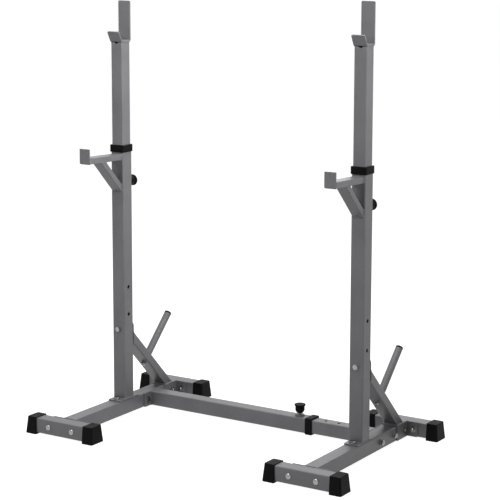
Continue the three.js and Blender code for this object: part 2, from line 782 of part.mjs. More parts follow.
// Everything that one stand carries, about its upright's centre line on the floor.
// Outward is -1 for the left stand and +1 for the right one.
function stand(side, outward, holeLocked) {
  const group = new THREE.Group();
  const headOutward = [0, outward * quarterTurn, 0];
  const headInward = [0, -outward * quarterTurn, 0];
  place(group, `${side}_side_rail`, sideRail(), paint(), [0, 0, railHeight]);

  const ends = [['outer', outward], ['inner', -outward]];
  const crossbars = [
    ['front', -frontReach, -1, headForward],
    ['rear', rearReach, 1, headBack],
  ];
  crossbars.forEach(([row, y, away, headAway]) => {
    place(group, `${side}_${row}_crossbar`, crossbar(), paint(), [0, y, railHeight]);
    ends.forEach(([end, direction]) => {
      const turn = direction > 0 ? 0 : Math.PI;
      place(group, `${side}_${row}_${end}_foot_cap`, footCap(), blackPlastic(),
        [direction * crossbarLength / 2, y, railHeight], [0, 0, turn]);
      place(group, `${side}_${row}_${end}_bolt`,
        domeBolt(tubeWidth + seatGap + flangeThickness), zinc(),
        [direction * flangeBoltReach, y + away * tubeWidth / 2, railHeight], headAway);
    });
  });

  const plateTop = railTop + seatGap + basePlateThickness;
  place(group, `${side}_upright`, upright(), paint(), [0, 0, railTop + seatGap]);
  [['front', -baseBoltReach], ['rear', baseBoltReach]].forEach(([row, y]) => {
    place(group, `${side}_base_${row}_bolt`,
      baseBolt(basePlateThickness + seatGap + tubeWall), zinc(), [0, y, plateTop]);
  });
  place(group, `${side}_upright_collar`, collar(), blackPlastic(), [0, 0, uprightTop]);
  place(group, `${side}_spotter_bracket`, spotterBracket(), paint(),
    [0, -tubeWidth / 2 - seatGap, spotterHeight]);
  placeLock(group, side, [0, tubeWidth / 2, lockHeight], headBack);

  const mastBottom = lockHeight - mastFirstHole - holeLocked * mastHolePitch;
  const mastTop = mastBottom + mastLength;
  place(group, `${side}_mast_tube`, mastTube(), paint(), [0, 0, mastBottom]);
  place(group, `${side}_bar_saddle`, barSaddle(), paint(), [0, 0, mastTop + seatGap]);

  const braceY = tubeWidth / 2 + seatGap;
  const braceZ = railTop + seatGap;
  place(group, `${side}_rear_brace`, rearBrace(), paint(), [0, braceY, braceZ]);
  place(group, `${side}_brace_top_bolt`,
    hexBolt(tubeWidth + seatGap + braceFlangeThickness), zinc(),
    [0, -tubeWidth / 2, braceBoltHeight], headForward);
  const bracketHalf = tubeWidth / 2 + seatGap + bracketWall;
  place(group, `${side}_brace_foot_bolt`, hexBolt(2 * bracketHalf), zinc(),
    [outward * bracketHalf, bracketBoltReach, railHeight], headOutward);

  const peg = new THREE.Group();
  peg.position.set(0,
    braceY + pegAlong * Math.cos(braceAngle) + braceDepth / 2 * Math.sin(braceAngle),
    braceZ + braceRise - pegAlong * Math.sin(braceAngle) + braceDepth / 2 * Math.cos(braceAngle));
  peg.rotation.set(-braceAngle, 0, 0);
  place(peg, `${side}_plate_peg`, platePeg(), paint(), [0, 0, 0]);
  place(peg, `${side}_peg_cap`, pegCap(), blackPlastic(), [0, 0, pegLength]);
  group.add(peg);

  [['front', -linkBoltReach], ['rear', linkBoltReach]].forEach(([row, along]) => {
    place(group, `${side}_link_${row}_bolt`,
      hexBolt(tubeWidth + seatGap + flangeThickness), zinc(),
      [-outward * (tubeWidth / 2 + seatGap + flangeThickness), linkReach + along,
        railHeight - linkDrop], headInward);
  });
  return group;
}

// Floor bar between the rails, about the left upright's centre line
function floorBar() {
  const group = new THREE.Group();
  const start = tubeWidth / 2 + seatGap;
  place(group, 'link_outer_tube', linkOuterTube(), paint(), [start, 0, 0]);
  place(group, 'link_collar', collar(), blackPlastic(),
    [start + linkOuterLength, 0, 0], [0, quarterTurn, 0]);
  place(group, 'link_inner_tube', linkInnerTube(), paint(),
    [standSpacing - start, 0, 0], [0, 0, Math.PI]);
  placeLock(group, 'link', [start + linkLockReach, 0, tubeWidth / 2]);
  return group;
}

const uprightY = (frontReach - rearReach) / 2;
const leftStand = stand('left', -1, mastHoleLockedLeft);
leftStand.position.set(-standSpacing / 2, uprightY, 0);
const rightStand = stand('right', 1, mastHoleLockedRight);
rightStand.position.set(standSpacing / 2, uprightY, 0);
const link = floorBar();
link.position.set(-standSpacing / 2, uprightY + linkReach, railHeight - linkDrop);

const squatStand = new THREE.Group();
squatStand.add(leftStand, rightStand, link);

export default squatStand;
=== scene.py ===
import math

import bmesh
import bpy
from mathutils import Matrix, Vector


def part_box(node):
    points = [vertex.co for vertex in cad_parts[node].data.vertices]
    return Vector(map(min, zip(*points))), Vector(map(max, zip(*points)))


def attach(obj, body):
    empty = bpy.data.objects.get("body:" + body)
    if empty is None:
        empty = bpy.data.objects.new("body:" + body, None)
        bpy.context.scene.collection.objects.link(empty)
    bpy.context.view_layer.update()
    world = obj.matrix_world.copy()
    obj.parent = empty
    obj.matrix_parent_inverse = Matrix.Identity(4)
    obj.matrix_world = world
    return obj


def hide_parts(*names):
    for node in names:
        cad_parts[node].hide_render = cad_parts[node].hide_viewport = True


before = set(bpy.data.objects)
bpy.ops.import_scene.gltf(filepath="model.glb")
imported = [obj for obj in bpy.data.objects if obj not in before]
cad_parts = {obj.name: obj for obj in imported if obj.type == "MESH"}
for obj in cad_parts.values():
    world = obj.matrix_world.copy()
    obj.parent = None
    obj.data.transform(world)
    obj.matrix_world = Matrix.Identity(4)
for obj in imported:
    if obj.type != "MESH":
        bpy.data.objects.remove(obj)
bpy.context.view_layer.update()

# Sizes are in millimetres until a mesh is placed in the frame, which is in metres
MILLIMETRE = 0.001

# Square tubes
TUBE = 50.0
TUBE_WALL = 2.0
TUBE_CORNER = 4.0
INNER_TUBE = 45.0
INNER_CORNER = 3.2
SEAT_GAP = 0.3

# Rails and their flange plates
RAIL_END_INSET = 1.0
FLANGE_THICKNESS = 3.0
FLANGE_CORNER = 4.0
FLANGE_BOLT_REACH = 48.5
LINK_BOLT_REACH = 45.0

# Bolts, washers and nuts
BOLT_RADIUS = 5.0
BOLT_HOLE_RADIUS = 5.6
BOLT_FLATS = 16.0
BOLT_HEAD_HEIGHT = 6.5
BOLT_TAIL = 3.0
HEX_SIDES = 6
HEX_CHAMFER_WIDTH = 0.99
HEX_CHAMFER_RISE = 0.54
HEX_FOOT_RISE = 0.55
HEX_CORNER_GAP = 0.2
NUT_HEIGHT = 8.0
WASHER_RADIUS = 10.0
WASHER_THICKNESS = 1.6
DOME_RADIUS = 9.9
DOME_HEIGHT = 5.4
DOME_RIM = 0.8
DOME_FLAT = 0.4
DOME_STEPS = 10
THREAD_PITCH = 1.5
THREAD_DEPTH = 0.55
THREAD_IN_NUT = 1.0
THREAD_RUN_OUT = 0.5
SHANK_UNDERSIZE = 0.2
SHANK_IN_HEAD = 1.0

# Upright
BASE_PLATE = 4.0
BASE_PLATE_CORNER = 3.0
BASE_BOLT_REACH = 42.0
SPARE_HOLE_HEIGHTS = (355.5, 451.0)
SPARE_HOLE_RADIUS = 6.2

# Lock
LOCK_HEIGHT = 812.0
LOCK_STROKE = 5.0
LOCK_HOLE_RADIUS = 5.5
BOSS_RADIUS = 15.0
BOSS_HEIGHT = 5.5
BOSS_ROOT = 1.0
BOSS_EDGE = 1.2
PIN_RADIUS = 4.5
PIN_HOLE_RADIUS = 5.0
PIN_PAST_WALL = 0.5
PIN_POINT = 1.5
PIN_POINT_RISE = 1.2
PIN_SHOULDER_RISE = 1.8

# Mast
MAST_HOLE_PITCH = 25.0
MAST_FIRST_HOLE = 37.0
MAST_HOLE_COUNT = 19
VENT_WIDTH = 14.0
VENT_HEIGHT = 6.0

# Saddle
SADDLE_WIDTH = 48.0
SADDLE_PLATE = 5.0
SADDLE_BEND = 7.0
SADDLE_BEND_STEPS = 10
SADDLE_LIP_HEIGHT = 40.5
SADDLE_LIP_LEAN = math.radians(27)
SADDLE_CORNER = 4.0
SADDLE_CORNER_STEPS = 8
SADDLE_EDGE = 0.9
SADDLE_EDGE_SEGMENTS = 3
SADDLE_WELD_SETBACK = 1.0

# Spotter bracket
ARM_TILT = math.radians(2)
ARM_HEIGHT = 20.0
ARM_WIDTH = 40.0
ARM_WALL = 2.0
ARM_CORNER = 2.6
ARM_UNDERSIDE = 891.5
ARM_REACH = 178.0
ARM_BRACE_DROP = 95.0
ARM_BRACE_ANGLE = math.radians(45)
CATCH_HEIGHT = 50.0
CATCH_THICKNESS = 4.0
CATCH_CORNER = 2.2
ARM_VENT_RADIUS = 2.5
ARM_VENT_RISE = 7.0

# Rear brace and its bracket over the rail
BRACE_WIDTH = 50.0
BRACE_DEPTH = 30.0
BRACE_WALL = 2.0
BRACE_CORNER = 3.6
BRACE_RISE = 215.0
BRACE_ANGLE = math.radians(45)
BRACE_FLANGE_THICKNESS = 3.5
BRACE_FLANGE_HEIGHT = 83.0
BRACE_FLANGE_CORNER = 16.0
BRACE_FLANGE_STEPS = 10
BRACE_BOLT_INSET = 20.0
BRACKET_LENGTH = 72.0
BRACKET_WALL = 3.0
BRACKET_CORNER = 2.4
BRACKET_BOLT_INSET = 38.0
BRACKET_REAR_GAP = 1.7

# Plate peg
PEG_ALONG = 148.0
PEG_RADIUS = 12.5
PEG_WALL = 2.0
PEG_LENGTH = 180.0
PEG_PLUG = 14.0
PEG_CAP_RISE = 4.0
PEG_CAP_RIM = 6.5
PEG_CAP_SPIGOT = 14.0
PEG_CAP_EDGE = 1.5
PEG_CAP_SOFT = 0.5

# Foot caps and collars
CAP_GRIP = 34.0
CAP_WALL = 2.7
CAP_FLARE = 5.0
CAP_CORNER = 6.0
CAP_RIM_CORNER = 1.5
CAP_EDGE = 2.0
CAP_SOFT = 0.5
CAP_GROOVE = 2.5
CAP_GROOVE_DEPTH = 1.0
CAP_GROOVE_PITCH = 6.5
CAP_GROOVE_COUNT = 5
COLLAR_HEIGHT = 25.0
COLLAR_WALL = 3.4
COLLAR_LIP = 2.0
COLLAR_CORNER = 6.0
COLLAR_EDGE = 2.5

# Floor bar
LINK_LOCK_INSET = 57.0
LINK_HOLE_PITCH = 50.0
LINK_HOLE_COUNT = 6
LINK_HOLES_OUTWARD = 3

# Edges and cuts
EDGE = 0.45
SOFT_EDGE = 0.4
FINE_EDGE = 0.3
TURNED_CENTRE = 0.5
CUT_OVERRUN = 3.0
WALL_DRILL = 12.0
MERGE_DISTANCE = 0.001
NEARLY_ZERO = 1e-6

# Welds, whose beads swell and shrink along seams that never run along WELD_SIDEWAYS
WELD_RADIUS = 2.0
HIDDEN_WELD_RADIUS = 1.3
WELD_PITCH = 3.2
WELD_RIPPLE_SHARE = 0.14
WELD_STOPS = 4
WELD_LEAST_RIPPLES = 3
WELD_SIDES = 8
WELD_RING_STEPS = 24
WELD_CORNER_STEPS = 3
WELD_COARSE_STEPS = 2
WELD_SIDEWAYS = Vector((0.31, 0.43, 0.85))

# Roundness and shading
CORNER_STEPS = 6
EDGE_STEPS = 5
ROUND_STEPS = 48
HOLE_STEPS = 32
BEVEL_SEGMENTS = 2
FLAT_ANGLE = math.radians(0.5)
BEVEL_ANGLE = math.radians(32)
SHARP_ANGLE = math.radians(48)
FLAT_FACE_WEIGHT = 60

# Turns and axes
QUARTER_TURN = math.pi / 2
FULL_TURN = 2 * math.pi
X_AXIS = Vector((1, 0, 0))
Y_AXIS = Vector((0, 1, 0))
Z_AXIS = Vector((0, 0, 1))
HALF_TURN = Matrix.Rotation(math.pi, 4, "Z")

# Knob
KNOB_LENGTH = 29.5
KNOB_RIM_RADIUS = 19.0
KNOB_RIM_HEIGHT = 5.0
KNOB_BODY_RADIUS = 16.0
KNOB_NECK_RADIUS = 11.0
KNOB_NECK_HEIGHT = 6.0
KNOB_BORE = 18.0
KNOB_FLUTES = 18
KNOB_FLUTE_DEPTH = 0.7
KNOB_FLUTE_STEPS = 6
KNOB_EDGE = 1.5
KNOB_SOFT = 0.8
KNOB_SHOULDER = 3.5
KNOB_SHOULDER_INSET = 0.6
KNOB_RING = 4.5
KNOB_DISH = 0.7
KNOB_CROWN = 0.2
KNOB_NECK_SHARE = 0.2
KNOB_SHOULDER_SHARE = 0.6
KNOB_RIM_FOOT = KNOB_LENGTH - KNOB_RIM_HEIGHT

# Knob's outline: radius, height and the share of the flutes' depth there
KNOB_PROFILE = (
    (KNOB_NECK_RADIUS - KNOB_SOFT, 0, 0),
    (KNOB_NECK_RADIUS, KNOB_SOFT, 0),
    (KNOB_BODY_RADIUS - KNOB_EDGE, KNOB_NECK_HEIGHT, KNOB_NECK_SHARE),
    (KNOB_BODY_RADIUS - KNOB_SHOULDER_INSET, KNOB_NECK_HEIGHT + KNOB_EDGE, KNOB_SHOULDER_SHARE),
    (KNOB_BODY_RADIUS, KNOB_NECK_HEIGHT + KNOB_SHOULDER, 1),
    (KNOB_BODY_RADIUS, KNOB_RIM_FOOT - KNOB_EDGE, 1),
    (KNOB_BODY_RADIUS + KNOB_SOFT, KNOB_RIM_FOOT - SOFT_EDGE, KNOB_SHOULDER_SHARE),
    (KNOB_RIM_RADIUS - KNOB_SOFT, KNOB_RIM_FOOT + KNOB_CROWN, 0),
    (KNOB_RIM_RADIUS, KNOB_RIM_FOOT + KNOB_EDGE, 0),
    (KNOB_RIM_RADIUS, KNOB_LENGTH - KNOB_EDGE, 0),
    (KNOB_RIM_RADIUS - EDGE, KNOB_LENGTH - EDGE, 0),
    (KNOB_RIM_RADIUS - KNOB_EDGE, KNOB_LENGTH, 0),
    (KNOB_RIM_RADIUS - KNOB_RING, KNOB_LENGTH, 0),
    (KNOB_RIM_RADIUS - KNOB_RING - KNOB_DISH, KNOB_LENGTH - KNOB_DISH, 0),
    (KNOB_RIM_RADIUS - 2 * KNOB_RING, KNOB_LENGTH - KNOB_DISH + KNOB_CROWN, 0),
    (TURNED_CENTRE, KNOB_LENGTH - KNOB_DISH + 2 * KNOB_CROWN, 0),
)

# Camera: place in metres, sensor in millimetres, focal length and the photograph's width in pixels
CAMERA_PLACE = Vector((3.014, -4.6675, 1.712))
CAMERA_TURN = math.radians(32.35)
CAMERA_PITCH = math.radians(9.40)
CAMERA_ROLL = math.radians(0.14)
CAMERA_FOCAL_PIXELS = 1730.0
CAMERA_SENSOR = 36.0
CAMERA_SHIFT_Y = -0.099
PHOTO_WIDTH = 500.0

# Noise in the materials
NOISE_DETAIL = 3.0
NOISE_ROUGHNESS = 0.55

# Floor and world, and lamps as name, place, aim and width in metres, watts and spread in degrees
FLOOR_SIZE = 300.0
FLOOR_COLOUR = (0.36, 0.36, 0.36)
FLOOR_LIFT = 0.93
WORLD_LIGHT = 0.24
LAMPS = (
    ("key", (3.6, -0.9, 3.0), (0.0, 0.0, 2.0), 1.6, 22, 40),
    ("front", (-0.6, -3.0, 3.4), (0.0, 0.0, 1.2), 2.0, 71, 180),
    ("top", (0.4, 0.3, 4.0), (0.0, 0.0, 0.0), 1.2, 82, 180),
    ("back", (-0.8, 3.2, 3.2), (0.0, 0.0, 0.8), 2.0, 42, 180),
)


# Shapes are lists of points and faces

def facing(axis):
    """Turn that brings +Z onto an axis."""
    return axis.to_track_quat("Z", "Y").to_matrix().to_4x4()


def moved(shape, matrix):
    verts, faces = shape
    return [matrix @ v for v in verts], faces


def shifted(shape, x=0.0, y=0.0, z=0.0):
    return moved(shape, Matrix.Translation((x, y, z)))


def turned_to(shape, axis):
    return moved(shape, facing(axis))


def merged(*shapes):
    verts = []
    faces = []
    for more, rings in shapes:
        start = len(verts)
        verts.extend(more)
        faces.extend(tuple(i + start for i in ring) for ring in rings)
    return verts, faces


def loft(rings, closed=False):
    """Skin over rings that hold the same number of points, capped at both ends or closed on itself."""
    count = len(rings[0])
    verts = [point for ring in rings for point in ring]
    faces = []
    levels = len(rings) if closed else len(rings) - 1
    for level in range(levels):
        low = level * count
        high = ((level + 1) % len(rings)) * count
        for i in range(count):
            j = (i + 1) % count
            faces.append((low + i, low + j, high + j, high + i))
    if not closed:
        faces.append(tuple(reversed(range(count))))
        faces.append(tuple(range(len(verts) - count, len(verts))))
    return verts, faces


def sweep(start, end, steps):
    """Angles from start to end, both included."""
    return [start + (end - start) * i / steps for i in range(steps + 1)]


def arc(x, y, radius, start, end, steps=CORNER_STEPS):
    return [(x + radius * math.cos(t), y + radius * math.sin(t)) for t in sweep(start, end, steps)]


def rounded_outline(width, height, radius, steps=CORNER_STEPS):
    """Rounded rectangle as points round the origin, anticlockwise."""
    radius = max(radius, EDGE / 2)
    points = []
    for quarter, (sx, sy) in enumerate(((1, 1), (-1, 1), (-1, -1), (1, -1))):
        start = quarter * QUARTER_TURN
        cx = sx * (width / 2 - radius)
        cy = sy * (height / 2 - radius)
        points += arc(cx, cy, radius, start, start + QUARTER_TURN, steps)
    return points


def ring_at(outline, z):
    return [Vector((x, y, z)) for x, y in outline]


def prism(outline, low, high):
    return loft([ring_at(outline, low), ring_at(outline, high)])


def along_x(outline, start, end):
    """Plate with a Y-Z outline between two places on X."""
    return loft([[Vector((x, y, z)) for y, z in outline] for x in (start, end)])


def along_y(outline, start, end):
    """Plate with an X-Z outline between two places on Y."""
    return loft([[Vector((x, y, z)) for x, z in outline] for y in (start, end)])


def square_tube(width, corner, low, high):
    """Open tube along +Z."""
    bore = width - 2 * TUBE_WALL
    outer = rounded_outline(width, width, corner)
    inner = rounded_outline(bore, bore, corner - TUBE_WALL)
    rings = [ring_at(outer, low), ring_at(outer, high), ring_at(inner, high), ring_at(inner, low)]
    return loft(rings, closed=True)


def circle(radius, height, steps):
    """Ring of points about Z."""
    return [
        Vector((radius * math.cos(t), radius * math.sin(t), height))
        for t in sweep(0, FULL_TURN, steps)[:-1]
    ]


def lathe(profile, steps=ROUND_STEPS, closed=False):
    """Turn (radius, height) points about Z into a solid, or a closed profile into a ring."""
    return loft([circle(radius, height, steps) for radius, height in profile], closed)


def rod(radius, low, high):
    return lathe([(radius, low), (radius, high)], HOLE_STEPS)


def cuboid(size, centre):
    x, y, z = (length / 2 for length in size)
    outline = [(x, y), (-x, y), (-x, -y), (x, -y)]
    return shifted(prism(outline, -z, z), *centre)


def seated(shape, spot, axis):
    """Shape built along +Z, turned to an axis and set down at a spot."""
    return shifted(turned_to(shape, axis), *spot)


def drill(radius, axis, centre, length):
    return seated(rod(radius, -length / 2, length / 2), centre, axis)


def bead(path, radius, closed):
    """Weld bead along a path: a thin tube whose thickness ripples once every pitch."""
    points = [Vector(p) for p in path]
    if closed:
        points = points + [points[0]]
    lengths = [0.0]
    for a, b in zip(points, points[1:]):
        lengths.append(lengths[-1] + (b - a).length)
    stops = WELD_STOPS * max(WELD_LEAST_RIPPLES, round(lengths[-1] / WELD_PITCH))
    centres = []
    for i in range(stops if closed else stops + 1):
        goal = lengths[-1] * i / stops
        leg = max(k for k in range(len(lengths) - 1) if lengths[k] <= goal + NEARLY_ZERO)
        share = (goal - lengths[leg]) / max(lengths[leg + 1] - lengths[leg], NEARLY_ZERO)
        centres.append(points[leg].lerp(points[leg + 1], share))
    rings = []
    total = len(centres)
    for i, centre in enumerate(centres):
        before = centres[i - 1] if closed or i else centre
        after = centres[(i + 1) % total] if closed or i < total - 1 else centre
        ahead = (after - before).normalized()
        side = ahead.cross(WELD_SIDEWAYS).normalized()
        up = side.cross(ahead)
        ripple = math.cos(FULL_TURN * i / WELD_STOPS)
        swell = radius * (1 - WELD_RIPPLE_SHARE + WELD_RIPPLE_SHARE * ripple)
        turns = sweep(0, FULL_TURN, WELD_SIDES)[:-1]
        rings.append([centre + swell * (side * math.cos(t) + up * math.sin(t)) for t in turns])
    return loft(rings, closed)


# Objects from shapes

def new_object(name, data):
    made = bpy.data.objects.new(name, data)
    bpy.context.scene.collection.objects.link(made)
    return made


def raw_object(name, shape):
    """Object with a shape as it is, its faces turned outwards."""
    verts, faces = shape
    mesh = bpy.data.meshes.new(name)
    mesh.from_pydata([tuple(v) for v in verts], [], faces)
    mesh.validate()
    solid = bmesh.new()
    solid.from_mesh(mesh)
    bmesh.ops.recalc_face_normals(solid, faces=solid.faces)
    solid.to_mesh(mesh)
    solid.free()
    return new_object(name, mesh)


def apply_modifiers(made):
    bpy.context.view_layer.update()
    graph = bpy.context.evaluated_depsgraph_get()
    mesh = bpy.data.meshes.new_from_object(made.evaluated_get(graph))
    made.modifiers.clear()
    old = made.data
    made.data = mesh
    bpy.data.meshes.remove(old)


def combine(made, shape, operation):
    """Join or cut a whole shape in one boolean."""
    other = raw_object("tool", shape)
    step = made.modifiers.new("combine", "BOOLEAN")
    step.operation = operation
    step.solver = "EXACT"
    step.use_self = operation == "DIFFERENCE"
    step.object = other
    apply_modifiers(made)
    tool_mesh = other.data
    bpy.data.objects.remove(other)
    bpy.data.meshes.remove(tool_mesh)


def tidy_mesh(made):
    """Join points that meet and faces that lie in one plane."""
    solid = bmesh.new()
    solid.from_mesh(made.data)
    bmesh.ops.remove_doubles(solid, verts=solid.verts, dist=MERGE_DISTANCE)
    bmesh.ops.dissolve_limit(solid, angle_limit=FLAT_ANGLE, verts=solid.verts, edges=solid.edges)
    solid.to_mesh(made.data)
    solid.free()


def soften(made, width, segments=BEVEL_SEGMENTS):
    """Round every edge that is sharper than the steps of a rounded corner."""
    step = made.modifiers.new("edge", "BEVEL")
    step.width = width
    step.segments = segments
    step.limit_method = "ANGLE"
    step.angle_limit = BEVEL_ANGLE
    step.miter_outer = "MITER_ARC"
    step.use_clamp_overlap = True
    apply_modifiers(made)


def clear_slivers(made):
    """Remove the faces without width that a cut or a bevel can leave."""
    solid = bmesh.new()
    solid.from_mesh(made.data)
    bmesh.ops.dissolve_degenerate(solid, dist=MERGE_DISTANCE, edges=solid.edges)
    loose = [point for point in solid.verts if not point.link_faces]
    bmesh.ops.delete(solid, geom=loose, context="VERTS")
    solid.to_mesh(made.data)
    solid.free()


def shade(made):
    """Shade curves smooth and let the flat faces stay flat to the eye."""
    made.data.shade_smooth()
    made.data.set_sharp_from_angle(angle=SHARP_ANGLE)
    step = made.modifiers.new("normals", "WEIGHTED_NORMAL")
    step.keep_sharp = True
    step.weight = FLAT_FACE_WEIGHT
    apply_modifiers(made)


def finish_piece(made, place, material, body, nodes=()):
    """Put a piece where it belongs in the frame and tie it to its body."""
    if place.determinant() < 0:
        mirror = Matrix.Diagonal((-1, 1, 1, 1))
        made.data.transform(mirror)
        made.data.flip_normals()
        place = place @ mirror
    clear_slivers(made)
    shade(made)
    made.data.transform(place)
    made.data.materials.clear()
    made.data.materials.append(material)
    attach(made, body)
    if nodes:
        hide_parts(*nodes)


def add(name, parts, place, material, body, nodes, cutters, edge=EDGE, segments=BEVEL_SEGMENTS):
    """Piece of joined parts less its cutters, with its edges softened."""
    made = raw_object(name, parts[0])
    for part in parts[1:]:
        combine(made, part, "UNION")
    combine(made, merged(*cutters), "DIFFERENCE")
    tidy_mesh(made)
    soften(made, edge, segments)
    finish_piece(made, place, material, body, nodes)


def add_turned(name, profile, place, material, body, nodes):
    finish_piece(raw_object(name, lathe(profile)), place, material, body, nodes)


def add_welds(name, paths, place, body, closed=True, radius=WELD_RADIUS):
    made = raw_object(name, merged(*(bead(path, radius, closed) for path in paths)))
    finish_piece(made, place, PAINT, body)


# Materials

def noise(tree, scale, detail=NOISE_DETAIL):
    """Noise in the piece's own coordinates."""
    made = tree.nodes.new("ShaderNodeTexNoise")
    made.inputs["Scale"].default_value = scale
    made.inputs["Detail"].default_value = detail
    made.inputs["Roughness"].default_value = NOISE_ROUGHNESS
    source = tree.nodes.new("ShaderNodeTexCoord")
    tree.links.new(source.outputs["Object"], made.inputs["Vector"])
    return made.outputs["Fac"]


def surface(name, drift, tones, roughness, grain, settings, flake=None):
    """Material whose tone and gloss drift softly under a fine grain, with a finer flake if it has one."""
    made = bpy.data.materials.new(name)
    made.use_nodes = True
    tree = made.node_tree
    shader = tree.nodes["Principled BSDF"]
    clouds = noise(tree, drift)
    tone = clouds
    if flake:
        mix = tree.nodes.new("ShaderNodeMix")
        mix.inputs[0].default_value = flake["share"]
        tree.links.new(clouds, mix.inputs[2])
        tree.links.new(noise(tree, flake["scale"], flake["detail"]), mix.inputs[3])
        tone = mix.outputs[0]
    ramp = tree.nodes.new("ShaderNodeValToRGB")
    tree.links.new(tone, ramp.inputs["Fac"])
    for step, (place, colour) in zip(ramp.color_ramp.elements, tones):
        step.position = place
        step.color = (*colour, 1.0)
    tree.links.new(ramp.outputs["Color"], shader.inputs["Base Color"])
    gloss = tree.nodes.new("ShaderNodeMapRange")
    gloss.inputs["To Min"].default_value = roughness[0]
    gloss.inputs["To Max"].default_value = roughness[1]
    tree.links.new(clouds, gloss.inputs["Value"])
    tree.links.new(gloss.outputs["Result"], shader.inputs["Roughness"])
    bump = tree.nodes.new("ShaderNodeBump")
    bump.inputs["Strength"].default_value = grain["strength"]
    bump.inputs["Distance"].default_value = grain["height"]
    tree.links.new(noise(tree, grain["scale"], grain["detail"]), bump.inputs["Height"])
    tree.links.new(bump.outputs["Normal"], shader.inputs["Normal"])
    for socket, value in settings.items():
        shader.inputs[socket].default_value = value
    return made


# Satin metallic powder coat with fine flake and orange peel
PAINT = surface(
    "grey_paint",
    drift=9.0,
    tones=((0.35, (0.134, 0.132, 0.139)), (0.65, (0.168, 0.166, 0.174))),
    roughness=(0.36, 0.48),
    grain={"scale": 420.0, "detail": 2.0, "strength": 0.12, "height": 0.0004},
    settings={"Metallic": 0.15, "Specular IOR Level": 0.3, "Coat Weight": 0.06, "Coat Roughness": 0.25},
    flake={"share": 0.35, "scale": 1400.0, "detail": 1.0},
)

# Black moulded plastic with a fine spark-eroded grain
PLASTIC = surface(
    "black_plastic",
    drift=30.0,
    tones=((0.3, (0.0034, 0.0034, 0.0034)), (0.7, (0.0052, 0.0052, 0.0050))),
    roughness=(0.42, 0.58),
    grain={"scale": 1500.0, "detail": 2.0, "strength": 0.25, "height": 0.0002},
    settings={"Specular IOR Level": 0.05},
)

# Zinc plate with slight cloudiness and a fine grain
ZINC = surface(
    "zinc",
    drift=160.0,
    tones=((0.3, (0.22, 0.22, 0.216)), (0.7, (0.32, 0.32, 0.314))),
    roughness=(0.14, 0.28),
    grain={"scale": 2200.0, "detail": 1.0, "strength": 0.06, "height": 0.0001},
    settings={"Metallic": 1.0},
)


# Places in the frame, in millimetres

def box_of(node):
    low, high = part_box(node)
    return low / MILLIMETRE, high / MILLIMETRE


right_low, right_high = box_of("right_upright")
rail_low, rail_high = box_of("right_side_rail")
crossbar_low, crossbar_high = box_of("right_front_crossbar")
link_low, link_high = box_of("link_outer_tube")
inner_low, inner_high = box_of("link_inner_tube")
STAND_X = (right_low.x + right_high.x) / 2
STAND_Y = (right_low.y + right_high.y) / 2
RAIL_Z = (crossbar_low.z + crossbar_high.z) / 2
RAIL_TOP = RAIL_Z + TUBE / 2
RAIL_FRONT = rail_low.y - STAND_Y
RAIL_REAR = rail_high.y - STAND_Y
LINK_Y = (link_low.y + link_high.y) / 2 - STAND_Y
LINK_Z = (inner_low.z + inner_high.z) / 2
BRACE_Y = TUBE / 2 + SEAT_GAP
BRACE_Z = RAIL_TOP + SEAT_GAP
BRACE_BOLT_HEIGHT = box_of("right_rear_brace")[1].z - BRACE_BOLT_INSET
BRACKET_FRONT = RAIL_REAR - FLANGE_THICKNESS - BRACKET_REAR_GAP - BRACKET_LENGTH
BRACKET_BOLT_Y = BRACKET_FRONT + BRACKET_BOLT_INSET
FRAME_PLACE = Matrix.Scale(MILLIMETRE, 4)


def stand_place(outward):
    """From a stand's own millimetres, with +X outward, to the frame's metres."""
    foot = Matrix.Translation((outward * STAND_X, STAND_Y, 0))
    return FRAME_PLACE @ foot @ Matrix.Diagonal((outward, 1, 1, 1))


# Bars cut by planes, for arms and braces that lean

def cut_ring(outline, centre, ahead, plane):
    """Ring where a bar that runs ahead in the Y-Z plane meets a plane, given by a point and a normal."""
    spot, normal = plane
    up = X_AXIS.cross(ahead).normalized()
    ring = []
    for x, z in outline:
        start = centre + X_AXIS * x + up * z
        ring.append(start + ahead * ((spot - start).dot(normal) / ahead.dot(normal)))
    return ring


def cut_tube(outer, inner, centre, ahead, low, high):
    """Open tube whose ends lie in two planes."""
    rings = ((outer, low), (outer, high), (inner, high), (inner, low))
    return loft([cut_ring(outline, centre, ahead, plane) for outline, plane in rings], closed=True)


# Fasteners, made once and copied

templates = {}


def thread(radius, low, high):
    """Profile of a thread's crests and roots between two heights, with a chamfer at the low end."""
    turns = max(1, int((high - low) / THREAD_PITCH))
    points = [(radius - THREAD_DEPTH - SOFT_EDGE, low)]
    for i in range(turns):
        points.append((radius, low + (high - low) * (i + 0.5) / turns))
        points.append((radius - THREAD_DEPTH, low + (high - low) * (i + 1) / turns))
    return points


def hexagon(height, foot_too=False):
    """Hexagon with its corners turned off at the top, and at the foot too for a nut."""
    corner = BOLT_FLATS / math.sqrt(3)
    wide = corner + HEX_CORNER_GAP
    narrow = corner - HEX_CHAMFER_WIDTH
    foot = [(narrow, 0), (wide, HEX_FOOT_RISE)] if foot_too else [(wide, 0)]
    made = raw_object("hexagon", lathe([(corner, 0), (corner, height)], HEX_SIDES))
    combine(made, lathe([*foot, (wide, height - HEX_CHAMFER_RISE), (narrow, height)]), "INTERSECT")
    verts = [v.co.copy() for v in made.data.vertices]
    faces = [tuple(p.vertices) for p in made.data.polygons]
    bpy.data.objects.remove(made)
    return verts, faces


def washer(low):
    high = low + WASHER_THICKNESS
    profile = [
        (BOLT_HOLE_RADIUS, low), (WASHER_RADIUS - FINE_EDGE, low), (WASHER_RADIUS, low + FINE_EDGE),
        (WASHER_RADIUS, high - FINE_EDGE), (WASHER_RADIUS - FINE_EDGE, high), (BOLT_HOLE_RADIUS, high),
    ]
    return lathe(profile, closed=True)


